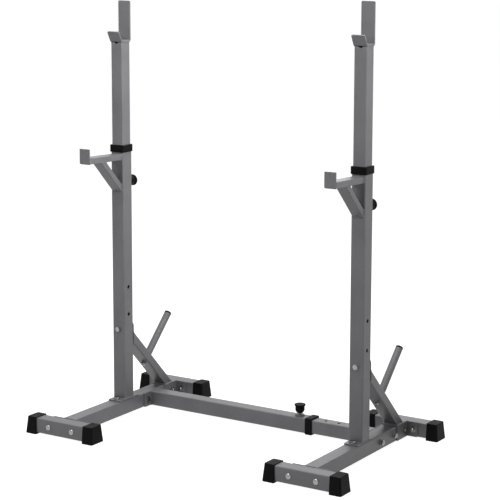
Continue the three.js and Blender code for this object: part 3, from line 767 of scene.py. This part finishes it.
def nut_parts(grip, with_washer):
    """Shank and nut, with the nut's washer if it has one."""
    seat = -grip - SEAT_GAP - (WASHER_THICKNESS if with_washer else 0)
    nut_foot = seat - NUT_HEIGHT
    thread_end = nut_foot + THREAD_IN_NUT
    shank_radius = BOLT_RADIUS - SHANK_UNDERSIZE
    profile = thread(BOLT_RADIUS, nut_foot - BOLT_TAIL, thread_end)
    profile += [(shank_radius, thread_end + THREAD_RUN_OUT), (shank_radius, SHANK_IN_HEAD)]
    parts = [lathe(profile), shifted(hexagon(NUT_HEIGHT, foot_too=True), z=nut_foot)]
    if with_washer:
        parts.append(washer(seat))
    return parts


def dome_head():
    foot = [(DOME_RADIUS - FINE_EDGE, SEAT_GAP), (DOME_RADIUS, SEAT_GAP + FINE_EDGE)]
    rise = [
        (DOME_RADIUS * math.cos(t), DOME_RIM + (DOME_HEIGHT - DOME_RIM) * math.sin(t))
        for t in sweep(0, QUARTER_TURN, DOME_STEPS)[:-1]
    ]
    return lathe([*foot, *rise, (DOME_FLAT, DOME_HEIGHT)])


def fastener(kind, grip):
    """Template mesh of a bolt whose head sits on Z = 0 and whose nut is a grip below."""
    key = (kind, round(grip, 2))
    if key not in templates:
        if kind == "dome":
            parts = [dome_head(), *nut_parts(grip, True)]
        elif kind == "stud":
            parts = nut_parts(grip, True)
        else:
            head = shifted(hexagon(BOLT_HEAD_HEIGHT), z=SEAT_GAP + WASHER_THICKNESS)
            parts = [head, washer(SEAT_GAP), *nut_parts(grip, kind == "hex")]
        made = raw_object("fastener", merged(*parts))
        templates[key] = made.data
        bpy.data.objects.remove(made)
    return templates[key]


def add_fastener(name, kind, grip, place, spot, head, body, nodes):
    made = new_object(name, fastener(kind, grip).copy())
    finish_piece(made, place @ Matrix.Translation(spot) @ facing(head), ZINC, body, nodes)


# Pieces of one stand

def side_rail(side, place):
    body = f"{side}_stand"
    tube = square_tube(TUBE, TUBE_CORNER, RAIL_FRONT + RAIL_END_INSET, RAIL_REAR - RAIL_END_INSET)
    outline = rounded_outline(rail_high.x - rail_low.x, TUBE, FLANGE_CORNER)
    plate = moved(prism(outline, 0, FLANGE_THICKNESS), Matrix.Rotation(-QUARTER_TURN, 4, "X"))
    parts = [shifted(turned_to(tube, Y_AXIS), z=RAIL_Z)]
    parts += [shifted(plate, y=y, z=RAIL_Z) for y in (RAIL_FRONT, RAIL_REAR - FLANGE_THICKNESS)]
    holes = [
        drill(BOLT_HOLE_RADIUS, Y_AXIS, (x, y, RAIL_Z), 4 * FLANGE_THICKNESS)
        for x in (-FLANGE_BOLT_REACH, FLANGE_BOLT_REACH)
        for y in (RAIL_FRONT, RAIL_REAR)
    ]
    cross_bolts = (
        (LINK_Y - LINK_BOLT_REACH, LINK_Z),
        (LINK_Y + LINK_BOLT_REACH, LINK_Z),
        (BRACKET_BOLT_Y, RAIL_Z),
    )
    holes += [drill(BOLT_HOLE_RADIUS, X_AXIS, (0, y, z), 2 * TUBE) for y, z in cross_bolts]
    holes += [
        drill(BOLT_HOLE_RADIUS, Z_AXIS, (0, y, RAIL_TOP), 4 * TUBE_WALL)
        for y in (-BASE_BOLT_REACH, BASE_BOLT_REACH)
    ]
    add(f"{side}_rail", parts, place, PAINT, body, [f"{side}_side_rail"], holes)
    seam = rounded_outline(TUBE, TUBE, TUBE_CORNER, WELD_CORNER_STEPS)
    loops = [
        [(x, y, z + RAIL_Z) for x, z in seam]
        for y in (RAIL_FRONT + FLANGE_THICKNESS, RAIL_REAR - FLANGE_THICKNESS)
    ]
    add_welds(f"{side}_rail_welds", loops, place, body, radius=HIDDEN_WELD_RADIUS)


def crossbars(side, place):
    body = f"{side}_stand"
    grip = TUBE + SEAT_GAP + FLANGE_THICKNESS
    for row, away in (("front", -1), ("rear", 1)):
        low, high = box_of(f"{side}_{row}_crossbar")
        half = (high.x - low.x) / 2
        y = (low.y + high.y) / 2 - STAND_Y
        bar = shifted(turned_to(square_tube(TUBE, TUBE_CORNER, -half, half), X_AXIS), y=y, z=RAIL_Z)
        holes = [
            drill(BOLT_HOLE_RADIUS, Y_AXIS, (x, y, RAIL_Z), 2 * TUBE)
            for x in (-FLANGE_BOLT_REACH, FLANGE_BOLT_REACH)
        ]
        add(f"{side}_{row}_bar", [bar], place, PAINT, body, [f"{side}_{row}_crossbar"], holes)
        for end, along in (("outer", 1), ("inner", -1)):
            foot_cap(side, row, end, along, half, y, place)
            spot = (along * FLANGE_BOLT_REACH, y + away * TUBE / 2, RAIL_Z)
            add_fastener(
                f"{side}_{row}_{end}_dome_bolt", "dome", grip, place, spot, away * Y_AXIS,
                body, [f"{side}_{row}_{end}_bolt"])


def rounded_levels(low, high, edge):
    """Insets and heights of the rings that round a body's foot and its top."""
    turns = sweep(0, QUARTER_TURN, EDGE_STEPS)
    foot = [(edge * (1 - math.sin(t)), low + edge * (1 - math.cos(t))) for t in turns]
    top = [(edge * (1 - math.cos(t)), high - edge * (1 - math.sin(t))) for t in turns]
    return foot, top


def cap_ring(margin, height):
    """Outline of a foot cap at one level, swollen by a margin on its three outer sides."""
    outer = SEAT_GAP + CAP_WALL + margin
    half = TUBE / 2 + outer
    corners = (
        (outer - CAP_CORNER, half - CAP_CORNER, CAP_CORNER),
        (CAP_RIM_CORNER - CAP_GRIP, half - CAP_RIM_CORNER, CAP_RIM_CORNER),
        (CAP_RIM_CORNER - CAP_GRIP, CAP_RIM_CORNER - half, CAP_RIM_CORNER),
        (outer - CAP_CORNER, CAP_CORNER - half, CAP_CORNER),
    )
    points = []
    for quarter, (x, y, radius) in enumerate(corners):
        start = quarter * QUARTER_TURN
        points += arc(x, y, radius, start, start + QUARTER_TURN)
    return ring_at(points, height)


def foot_cap(side, row, end, along, half, y, place):
    """Flared shoe over a crossbar's end, with rounded edges and a ribbed sole."""
    foot, top = rounded_levels(-RAIL_Z, TUBE / 2 + SEAT_GAP + CAP_WALL, CAP_EDGE)
    rings = [cap_ring(CAP_FLARE - inset, z) for inset, z in foot]
    rings += [cap_ring(-inset, z) for inset, z in top]
    width = TUBE + 2 * SEAT_GAP
    pocket = prism(rounded_outline(width, width, TUBE_CORNER), -2 * CAP_GRIP, SEAT_GAP)
    groove = (CAP_GROOVE, 2 * TUBE, 2 * CAP_GROOVE_DEPTH)
    cutters = [turned_to(pocket, X_AXIS)]
    cutters += [
        cuboid(groove, (CAP_WALL - i * CAP_GROOVE_PITCH, 0, -RAIL_Z))
        for i in range(CAP_GROOVE_COUNT)
    ]
    turn = Matrix.Identity(4) if along > 0 else HALF_TURN
    spot = place @ Matrix.Translation((along * half, y, RAIL_Z)) @ turn
    add(f"{side}_{row}_{end}_shoe", [loft(rings)], spot, PLASTIC, f"{side}_stand",
        [f"{side}_{row}_{end}_foot_cap"], cutters, CAP_SOFT)


def lock_boss(spot, axis):
    profile = [
        (BOSS_RADIUS, -BOSS_ROOT), (BOSS_RADIUS, BOSS_HEIGHT - BOSS_EDGE),
        (BOSS_RADIUS - SOFT_EDGE, BOSS_HEIGHT - SOFT_EDGE), (BOSS_RADIUS - BOSS_EDGE, BOSS_HEIGHT),
    ]
    return seated(lathe(profile), spot, axis)


def boss_seam(spot, axis):
    """The closed line where a lock's boss meets its tube."""
    turn = facing(axis)
    return [Vector(spot) + turn @ point for point in circle(BOSS_RADIUS, 0, WELD_RING_STEPS)]


def upright(side, place):
    body = f"{side}_stand"
    low, high = box_of(f"{side}_upright")
    seat = low.z + BASE_PLATE
    post = square_tube(TUBE, TUBE_CORNER, low.z + BASE_PLATE / 2, high.z)
    plate = prism(rounded_outline(TUBE, high.y - low.y, BASE_PLATE_CORNER), low.z, seat)
    lock_spot = (0, TUBE / 2, LOCK_HEIGHT)
    cutters = [
        drill(PIN_HOLE_RADIUS, Y_AXIS, lock_spot, 6 * BOSS_HEIGHT),
        drill(BOLT_HOLE_RADIUS, Y_AXIS, (0, 0, BRACE_BOLT_HEIGHT), 2 * TUBE),
    ]
    cutters += [drill(SPARE_HOLE_RADIUS, X_AXIS, (0, 0, z), 2 * TUBE) for z in SPARE_HOLE_HEIGHTS]
    cutters += [
        drill(BOLT_HOLE_RADIUS, Z_AXIS, (0, y, low.z), 4 * BASE_PLATE)
        for y in (-BASE_BOLT_REACH, BASE_BOLT_REACH)
    ]
    parts = [post, plate, lock_boss(lock_spot, Y_AXIS)]
    add(f"{side}_post", parts, place, PAINT, body, [f"{side}_upright"], cutters)
    foot = ring_at(rounded_outline(TUBE, TUBE, TUBE_CORNER, WELD_CORNER_STEPS), seat)
    add_welds(f"{side}_post_welds", [foot, boss_seam(lock_spot, Y_AXIS)], place, body)
    for row, y in (("front", -BASE_BOLT_REACH), ("rear", BASE_BOLT_REACH)):
        add_fastener(
            f"{side}_base_{row}_hex_bolt", "base", BASE_PLATE + SEAT_GAP + TUBE_WALL, place,
            (0, y, seat), Z_AXIS, body, [f"{side}_base_{row}_bolt"])


def collar(name, place, body, node):
    """Sleeve collar over the end face of a tube that runs along +Z."""
    width = TUBE + 2 * (SEAT_GAP + COLLAR_WALL)
    high = COLLAR_LIP + SEAT_GAP
    low = high - COLLAR_HEIGHT
    foot, top = rounded_levels(low, high, COLLAR_EDGE)
    rings = [
        ring_at(rounded_outline(width - 2 * inset, width - 2 * inset, COLLAR_CORNER - inset), z)
        for inset, z in foot + top
    ]
    made = raw_object(name, loft(rings))
    pocket = TUBE + 2 * SEAT_GAP
    mouth = INNER_TUBE + 2 * SEAT_GAP
    for bore, corner, end in ((pocket, TUBE_CORNER, SEAT_GAP), (mouth, INNER_CORNER, high + CUT_OVERRUN)):
        combine(made, prism(rounded_outline(bore, bore, corner), low - CUT_OVERRUN, end), "DIFFERENCE")
    tidy_mesh(made)
    soften(made, SOFT_EDGE)
    finish_piece(made, place, PLASTIC, body, [node])


def lock(side, place, spot, axis):
    """Fluted knob and its pin, parked on a tube's face."""
    rings = []
    for radius, height, share in KNOB_PROFILE:
        ring = []
        for t in sweep(0, FULL_TURN, KNOB_FLUTE_STEPS * KNOB_FLUTES)[:-1]:
            reach = radius - share * KNOB_FLUTE_DEPTH * (1 - math.cos(KNOB_FLUTES * t)) / 2
            ring.append(Vector((reach * math.cos(t), reach * math.sin(t), height)))
        rings.append(ring)
    made = raw_object(f"{side}_knob", loft(rings))
    combine(made, rod(PIN_RADIUS + SEAT_GAP, -CUT_OVERRUN, KNOB_BORE), "DIFFERENCE")
    face = place @ Matrix.Translation(spot) @ facing(axis)
    foot = BOSS_HEIGHT + PIN_HOLE_RADIUS - PIN_RADIUS + LOCK_STROKE
    knob_place = face @ Matrix.Translation((0, 0, foot))
    finish_piece(made, knob_place, PLASTIC, f"{side}_lock", [f"{side}_lock_knob"])
    tip = SEAT_GAP - TUBE_WALL - PIN_PAST_WALL
    top = foot + KNOB_BORE - SEAT_GAP
    profile = [
        (PIN_RADIUS - PIN_POINT, tip), (PIN_RADIUS - FINE_EDGE, tip + PIN_POINT_RISE),
        (PIN_RADIUS, tip + PIN_SHOULDER_RISE), (PIN_RADIUS, top - SOFT_EDGE), (PIN_RADIUS - SOFT_EDGE, top),
    ]
    add_turned(f"{side}_pin", profile, face, ZINC, f"{side}_lock", [f"{side}_lock_pin"])


def collar_and_lock(side, place):
    high = box_of(f"{side}_upright")[1]
    mouth = place @ Matrix.Translation((0, 0, high.z))
    collar(f"{side}_collar", mouth, f"{side}_stand", f"{side}_upright_collar")
    lock(side, place, (0, TUBE / 2, LOCK_HEIGHT), Y_AXIS)


def mast(side, place):
    low, high = box_of(f"{side}_mast_tube")
    tube = square_tube(INNER_TUBE, INNER_CORNER, low.z, high.z)
    first = low.z + MAST_FIRST_HOLE
    cutters = [
        drill(LOCK_HOLE_RADIUS, Y_AXIS, (0, INNER_TUBE / 2, first + i * MAST_HOLE_PITCH), WALL_DRILL)
        for i in range(MAST_HOLE_COUNT)
    ]
    squeeze = Matrix.Diagonal((1, 1, 2 * VENT_HEIGHT / VENT_WIDTH, 1))
    vent = drill(VENT_WIDTH / 2, Y_AXIS, (0, 0, 0), WALL_DRILL)
    cutters.append(moved(vent, Matrix.Translation((0, -INNER_TUBE / 2, high.z)) @ squeeze))
    add(f"{side}_mast_post", [tube], place, PAINT, f"{side}_mast", [f"{side}_mast_tube"], cutters)
    saddle(side, place, high.z)


def saddle(side, place, mast_top):
    """Plate bent round two radii: a back, a seat on the mast and a lip that leans forwards."""
    low, high = box_of(f"{side}_bar_saddle")
    back = high.y - STAND_Y
    lean_out = math.sin(SADDLE_LIP_LEAN)
    lean_up = math.cos(SADDLE_LIP_LEAN)
    straight = (SADDLE_LIP_HEIGHT - SADDLE_BEND - SADDLE_BEND * lean_out) / lean_up
    bends = (
        (back - SADDLE_BEND, 0, -QUARTER_TURN),
        (SADDLE_BEND - back, -QUARTER_TURN, SADDLE_LIP_LEAN - math.pi),
    )
    outside = []
    for y, start, end in bends:
        outside += arc(y, SADDLE_BEND, SADDLE_BEND, start, end, SADDLE_BEND_STEPS)
    inside = []
    for y, start, end in reversed(bends):
        inside += arc(y, SADDLE_BEND, SADDLE_BEND - SADDLE_PLATE, end, start, SADDLE_BEND_STEPS)
    tip_y = outside[-1][0] - lean_out * straight
    tip_z = outside[-1][1] + lean_up * straight
    tall = high.z - low.z
    outline = [
        (back, tall), *outside, (tip_y, tip_z),
        (tip_y + lean_up * SADDLE_PLATE, tip_z + lean_out * SADDLE_PLATE), *inside,
        (back - SADDLE_PLATE, tall),
    ]
    half = SADDLE_WIDTH / 2
    body = along_x([(y, z + low.z) for y, z in outline], -half, half)
    corner = SADDLE_CORNER
    bite = [
        (CUT_OVERRUN, CUT_OVERRUN), (-corner, CUT_OVERRUN),
        *arc(-corner, -corner, corner, QUARTER_TURN, 0, SADDLE_CORNER_STEPS), (CUT_OVERRUN, -corner),
    ]
    cutters = []
    for sign in (1, -1):
        upper = [(sign * (half + u), low.z + tall + v) for u, v in bite]
        cutters.append(along_y(upper, back - 2 * SADDLE_PLATE, back + SADDLE_PLATE))
        lower = []
        for depth in (-SADDLE_PLATE, 2 * SADDLE_PLATE):
            y = tip_y + lean_up * depth
            z = low.z + tip_z + lean_out * depth
            lower.append([Vector((sign * (half + u), y - lean_out * v, z + lean_up * v)) for u, v in bite])
        cutters.append(loft(lower))
    add(f"{side}_saddle_plate", [body], place, PAINT, f"{side}_mast", [f"{side}_bar_saddle"], cutters,
        SADDLE_EDGE, SADDLE_EDGE_SEGMENTS)
    seam = ring_at(rounded_outline(INNER_TUBE, INNER_TUBE, INNER_CORNER, WELD_CORNER_STEPS), mast_top)
    back_and_sides = [p for p in seam if p.y > SADDLE_WELD_SETBACK - INNER_TUBE / 2]
    back_and_sides.sort(key=lambda p: math.atan2(p.x, -p.y) % FULL_TURN)
    add_welds(f"{side}_saddle_weld", [back_and_sides], place, f"{side}_mast", closed=False)


def spotter_bracket(side, place):
    body = f"{side}_stand"
    origin = Vector((0, -TUBE / 2 - SEAT_GAP, ARM_UNDERSIDE))
    arm_ahead = Vector((0, -math.cos(ARM_TILT), math.sin(ARM_TILT)))
    arm_down = X_AXIS.cross(arm_ahead).normalized()
    arm_centre = origin + Z_AXIS * ARM_HEIGHT / 2 / math.cos(ARM_TILT)
    brace_ahead = Vector((0, -math.cos(ARM_BRACE_ANGLE), math.sin(ARM_BRACE_ANGLE)))
    brace_down = X_AXIS.cross(brace_ahead).normalized()
    brace_centre = origin - Z_AXIS * ARM_BRACE_DROP
    catch_back = origin.y - ARM_REACH + CATCH_THICKNESS
    wall = (origin, Y_AXIS)
    inside_catch = (Vector((0, catch_back - CATCH_THICKNESS / 2, 0)), Y_AXIS)
    inside_arm = (origin - arm_down * ARM_WALL / 2, arm_down)
    outer = rounded_outline(ARM_WIDTH, ARM_HEIGHT, ARM_CORNER)
    inner = rounded_outline(ARM_WIDTH - 2 * ARM_WALL, ARM_HEIGHT - 2 * ARM_WALL, ARM_CORNER - ARM_WALL)
    arm = cut_tube(outer, inner, arm_centre, arm_ahead, wall, inside_catch)
    brace = cut_tube(outer, inner, brace_centre, brace_ahead, wall, inside_arm)
    catch_z = ARM_UNDERSIDE + ARM_REACH * math.tan(ARM_TILT) + CATCH_HEIGHT / 2
    catch_outline = [(x, catch_z + z) for x, z in rounded_outline(ARM_WIDTH, CATCH_HEIGHT, CATCH_CORNER)]
    catch = along_y(catch_outline, catch_back - CATCH_THICKNESS, catch_back)
    toe = -ARM_BRACE_DROP - ARM_HEIGHT / 2 / math.cos(ARM_BRACE_ANGLE)
    vent_spot = origin + Vector((0, -ARM_VENT_RISE, toe + ARM_VENT_RISE * math.tan(ARM_BRACE_ANGLE)))
    vent = drill(ARM_VENT_RADIUS, brace_down, vent_spot, ARM_HEIGHT / 2)
    add(f"{side}_spotter_arm", [arm, brace, catch], place, PAINT, body, [f"{side}_spotter_bracket"], [vent])
    seam = rounded_outline(ARM_WIDTH, ARM_HEIGHT, ARM_CORNER, WELD_COARSE_STEPS)
    loops = [
        cut_ring(seam, arm_centre, arm_ahead, wall),
        cut_ring(seam, brace_centre, brace_ahead, wall),
        cut_ring(seam, brace_centre, brace_ahead, (origin, arm_down)),
        cut_ring(seam, arm_centre, arm_ahead, (Vector((0, catch_back, 0)), Y_AXIS)),
    ]
    add_welds(f"{side}_spotter_welds", loops, place, body)


def rear_brace(side, place):
    body = f"{side}_stand"
    low, high = box_of(f"{side}_rear_brace")
    ahead = Vector((0, math.cos(BRACE_ANGLE), -math.sin(BRACE_ANGLE)))
    centre = Vector((0, BRACE_Y, BRACE_Z + BRACE_RISE))
    wall = (Vector((0, BRACE_Y, 0)), Y_AXIS)
    roof = (Vector((0, 0, BRACE_Z)), Z_AXIS)
    outer = rounded_outline(BRACE_WIDTH, BRACE_DEPTH, BRACE_CORNER)
    bore_width = BRACE_WIDTH - 2 * BRACE_WALL
    inner = rounded_outline(bore_width, BRACE_DEPTH - 2 * BRACE_WALL, BRACE_CORNER - BRACE_WALL)
    bar = cut_tube(outer, inner, centre, ahead, wall, roof)
    half = BRACE_WIDTH / 2
    radius = BRACE_FLANGE_CORNER
    shoulders = []
    for sx, start in ((1, 0), (-1, QUARTER_TURN)):
        x = sx * (half - radius)
        shoulders += arc(x, high.z - radius, radius, start, start + QUARTER_TURN, BRACE_FLANGE_STEPS)
    hem = high.z - BRACE_FLANGE_HEIGHT
    flange = along_y([(half, hem), *shoulders, (-half, hem)], BRACE_Y, BRACE_Y + BRACE_FLANGE_THICKNESS)
    wide = (high.x - low.x) / 2
    roof_top = BRACE_Z + BRACKET_WALL
    arch = [(-wide, low.z)]
    for sx, start in ((-1, math.pi), (1, QUARTER_TURN)):
        x = sx * (wide - BRACKET_CORNER)
        arch += arc(x, roof_top - BRACKET_CORNER, BRACKET_CORNER, start, start - QUARTER_TURN)
    arch += [
        (wide, low.z), (wide - BRACKET_WALL, low.z), (wide - BRACKET_WALL, BRACE_Z),
        (BRACKET_WALL - wide, BRACE_Z), (BRACKET_WALL - wide, low.z),
    ]
    bracket = along_y(arch, BRACKET_FRONT, BRACKET_FRONT + BRACKET_LENGTH)
    peg_foot = centre + ahead * PEG_ALONG
    peg_axis = Vector((0, math.sin(BRACE_ANGLE), math.cos(BRACE_ANGLE)))
    cutters = [
        drill(BOLT_HOLE_RADIUS, Y_AXIS, (0, BRACE_Y, BRACE_BOLT_HEIGHT), 6 * BRACE_FLANGE_THICKNESS),
        drill(BOLT_HOLE_RADIUS, X_AXIS, (0, BRACKET_BOLT_Y, RAIL_Z), 2 * TUBE),
        drill(BOLT_HOLE_RADIUS, peg_axis, peg_foot, 2 * BRACE_DEPTH),
    ]
    add(f"{side}_brace_frame", [bar, flange, bracket], place, PAINT, body, [f"{side}_rear_brace"], cutters)
    seam = rounded_outline(BRACE_WIDTH, BRACE_DEPTH, BRACE_CORNER, WELD_COARSE_STEPS)
    on_flange = (Vector((0, BRACE_Y + BRACE_FLANGE_THICKNESS, 0)), Y_AXIS)
    on_roof = (Vector((0, 0, roof_top)), Z_AXIS)
    loops = [cut_ring(seam, centre, ahead, plane) for plane in (on_flange, on_roof)]
    add_welds(f"{side}_brace_welds", loops, place, body)
    bolts = (
        ("top", TUBE + SEAT_GAP + BRACE_FLANGE_THICKNESS, (0, -TUBE / 2, BRACE_BOLT_HEIGHT), -Y_AXIS),
        ("foot", 2 * wide, (wide, BRACKET_BOLT_Y, RAIL_Z), X_AXIS),
    )
    for end, grip, spot, head in bolts:
        add_fastener(f"{side}_brace_{end}_hex_bolt", "hex", grip, place, spot, head, body,
                     [f"{side}_brace_{end}_bolt"])
    plate_peg(side, place, peg_foot + peg_axis * BRACE_DEPTH / 2, peg_axis)


def plate_peg(side, place, foot, axis):
    body = f"{side}_stand"
    face = place @ (Matrix.Translation(foot) @ facing(axis))
    bore = PEG_RADIUS - PEG_WALL
    cap_top = PEG_LENGTH + PEG_CAP_RISE
    mouth = cap_top - PEG_CAP_RIM
    tube = [
        (PEG_RADIUS - SOFT_EDGE, SEAT_GAP), (PEG_RADIUS, SEAT_GAP + SOFT_EDGE),
        (PEG_RADIUS, mouth - SOFT_EDGE), (PEG_RADIUS - SOFT_EDGE, mouth),
        (bore + SOFT_EDGE, mouth), (bore, mouth - SOFT_EDGE), (bore, PEG_PLUG), (TURNED_CENTRE, PEG_PLUG),
    ]
    add_turned(f"{side}_peg_tube", tube, face, PAINT, body, [f"{side}_plate_peg"])
    add_fastener(f"{side}_peg_nut", "stud", BRACE_DEPTH, place, foot, axis, body, [])
    spigot = bore - SEAT_GAP
    spigot_foot = mouth - PEG_CAP_SPIGOT
    rim = mouth + SEAT_GAP
    cap = [
        (spigot - PEG_CAP_SOFT, spigot_foot), (spigot, spigot_foot + PEG_CAP_SOFT),
        (spigot, rim), (PEG_RADIUS - FINE_EDGE, rim), (PEG_RADIUS, rim + FINE_EDGE),
        (PEG_RADIUS, cap_top - PEG_CAP_EDGE), (PEG_RADIUS - PEG_CAP_SOFT, cap_top - PEG_CAP_SOFT),
        (PEG_RADIUS - PEG_CAP_EDGE, cap_top), (TURNED_CENTRE, cap_top),
    ]
    add_turned(f"{side}_peg_end", cap, face, PLASTIC, body, [f"{side}_peg_cap"])


def link_bolts(side, place):
    face = TUBE / 2 + SEAT_GAP + FLANGE_THICKNESS
    grip = TUBE + SEAT_GAP + FLANGE_THICKNESS
    for row, along in (("front", -LINK_BOLT_REACH), ("rear", LINK_BOLT_REACH)):
        add_fastener(f"{side}_link_{row}_hex_bolt", "hex", grip, place, (-face, LINK_Y + along, LINK_Z),
                     -X_AXIS, f"{side}_stand", [f"{side}_link_{row}_bolt"])


# The floor bar, along +X from each bolting face

def link_half(name, node, body, start, turn, width, corner, length, extras, cutters):
    """One tube of the floor bar with its flange. Gives its place and the seam between the two."""
    outline = rounded_outline(link_high.y - link_low.y, TUBE, FLANGE_CORNER)
    flange = along_x(outline, 0, FLANGE_THICKNESS)
    tube = turned_to(square_tube(width, corner, FLANGE_THICKNESS / 2, length), X_AXIS)
    holes = [
        drill(BOLT_HOLE_RADIUS, X_AXIS, (0, y, 0), 4 * FLANGE_THICKNESS)
        for y in (-LINK_BOLT_REACH, LINK_BOLT_REACH)
    ]
    place = FRAME_PLACE @ Matrix.Translation((start, STAND_Y + LINK_Y, LINK_Z)) @ turn
    add(name, [tube, flange, *extras], place, PAINT, body, [node], holes + cutters)
    seam = rounded_outline(width, width, corner, WELD_CORNER_STEPS)
    return place, [(FLANGE_THICKNESS, y, z) for y, z in seam]


def floor_bar():
    start = link_low.x
    far = inner_high.x
    length = box_of("link_collar")[1].x - COLLAR_LIP - SEAT_GAP - start
    lock_reach = length - LINK_LOCK_INSET
    spot = (lock_reach, 0, TUBE / 2)
    place, seam = link_half(
        "link_outer_bar", "link_outer_tube", "left_stand", start, Matrix.Identity(4), TUBE, TUBE_CORNER,
        length, [lock_boss(spot, Z_AXIS)], [drill(PIN_HOLE_RADIUS, Z_AXIS, spot, 6 * BOSS_HEIGHT)])
    add_welds("link_outer_welds", [seam, boss_seam(spot, Z_AXIS)], place, "left_stand")
    mouth = place @ Matrix.Translation((length, 0, 0)) @ facing(X_AXIS)
    collar("link_sleeve", mouth, "left_stand", "link_collar")
    lock("link", place, spot, Z_AXIS)
    pinned = far - start - lock_reach
    holes = [
        drill(LOCK_HOLE_RADIUS, Z_AXIS, (pinned + i * LINK_HOLE_PITCH, 0, INNER_TUBE / 2), WALL_DRILL)
        for i in range(-LINK_HOLES_OUTWARD, LINK_HOLE_COUNT - LINK_HOLES_OUTWARD)
    ]
    place, seam = link_half(
        "link_inner_bar", "link_inner_tube", "right_stand", far, HALF_TURN, INNER_TUBE, INNER_CORNER,
        far - inner_low.x, [], holes)
    add_welds("link_inner_welds", [seam], place, "right_stand")


for side, outward in (("left", -1), ("right", 1)):
    place = stand_place(outward)
    side_rail(side, place)
    crossbars(side, place)
    upright(side, place)
    collar_and_lock(side, place)
    mast(side, place)
    spotter_bracket(side, place)
    rear_brace(side, place)
    link_bolts(side, place)
floor_bar()


# Camera at the photograph's place

camera_data = bpy.data.cameras.new("camera")
camera_data.sensor_width = CAMERA_SENSOR
camera_data.lens = CAMERA_FOCAL_PIXELS / PHOTO_WIDTH * CAMERA_SENSOR
camera_data.shift_y = CAMERA_SHIFT_Y
camera = new_object("camera", camera_data)
camera.location = CAMERA_PLACE
turn = Matrix.Rotation(CAMERA_TURN, 4, "Z") @ Matrix.Rotation(QUARTER_TURN - CAMERA_PITCH, 4, "X")
camera.rotation_euler = (turn @ Matrix.Rotation(CAMERA_ROLL, 4, "Z")).to_euler()
bpy.context.scene.camera = camera


# Floor, world and lamps

def larger(tree, first, second):
    made = tree.nodes.new("ShaderNodeMath")
    made.operation = "MAXIMUM"
    tree.links.new(first, made.inputs[0])
    tree.links.new(second, made.inputs[1])
    return made.outputs[0]


def background_ray(tree):
    """1 for the rays that see the background: camera, glossy and transmission rays."""
    path = tree.nodes.new("ShaderNodeLightPath").outputs
    seen = larger(tree, path["Is Camera Ray"], path["Is Glossy Ray"])
    return larger(tree, seen, path["Is Transmission Ray"])


def make_floor():
    half = FLOOR_SIZE / 2
    corners = [(-half, -half, 0), (half, -half, 0), (half, half, 0), (-half, half, 0)]
    mesh = bpy.data.meshes.new("floor")
    mesh.from_pydata(corners, [], [(0, 1, 2, 3)])
    floor = new_object("floor", mesh)
    made = bpy.data.materials.new("floor")
    made.use_nodes = True
    tree = made.node_tree
    tree.nodes.clear()
    base = tree.nodes.new("ShaderNodeBsdfDiffuse")
    base.inputs["Color"].default_value = (*FLOOR_COLOUR, 1)
    lift = tree.nodes.new("ShaderNodeEmission")
    strength = tree.nodes.new("ShaderNodeMath")
    strength.operation = "MULTIPLY"
    strength.inputs[1].default_value = FLOOR_LIFT
    tree.links.new(background_ray(tree), strength.inputs[0])
    tree.links.new(strength.outputs[0], lift.inputs["Strength"])
    both = tree.nodes.new("ShaderNodeAddShader")
    tree.links.new(base.outputs[0], both.inputs[0])
    tree.links.new(lift.outputs[0], both.inputs[1])
    out = tree.nodes.new("ShaderNodeOutputMaterial")
    tree.links.new(both.outputs[0], out.inputs["Surface"])
    mesh.materials.append(made)


def make_world():
    world = bpy.data.worlds.new("studio")
    bpy.context.scene.world = world
    world.use_nodes = True
    tree = world.node_tree
    background = tree.nodes["Background"]
    background.inputs["Color"].default_value = (1, 1, 1, 1)
    strength = tree.nodes.new("ShaderNodeMapRange")
    strength.inputs["To Min"].default_value = WORLD_LIGHT
    strength.inputs["To Max"].default_value = 1.0
    tree.links.new(background_ray(tree), strength.inputs["Value"])
    tree.links.new(strength.outputs["Result"], background.inputs["Strength"])


def area_lamp(name, place, aim, width, power, spread):
    data = bpy.data.lights.new(name, "AREA")
    data.shape = "SQUARE"
    data.size = width
    data.energy = power
    data.spread = math.radians(spread)
    lamp = new_object(name, data)
    lamp.location = place
    lamp.rotation_euler = (Vector(aim) - Vector(place)).to_track_quat("-Z", "Y").to_euler()


make_floor()
make_world()
for lamp in LAMPS:
    area_lamp(*lamp)

bpy.context.scene.view_settings.view_transform = "Standard"
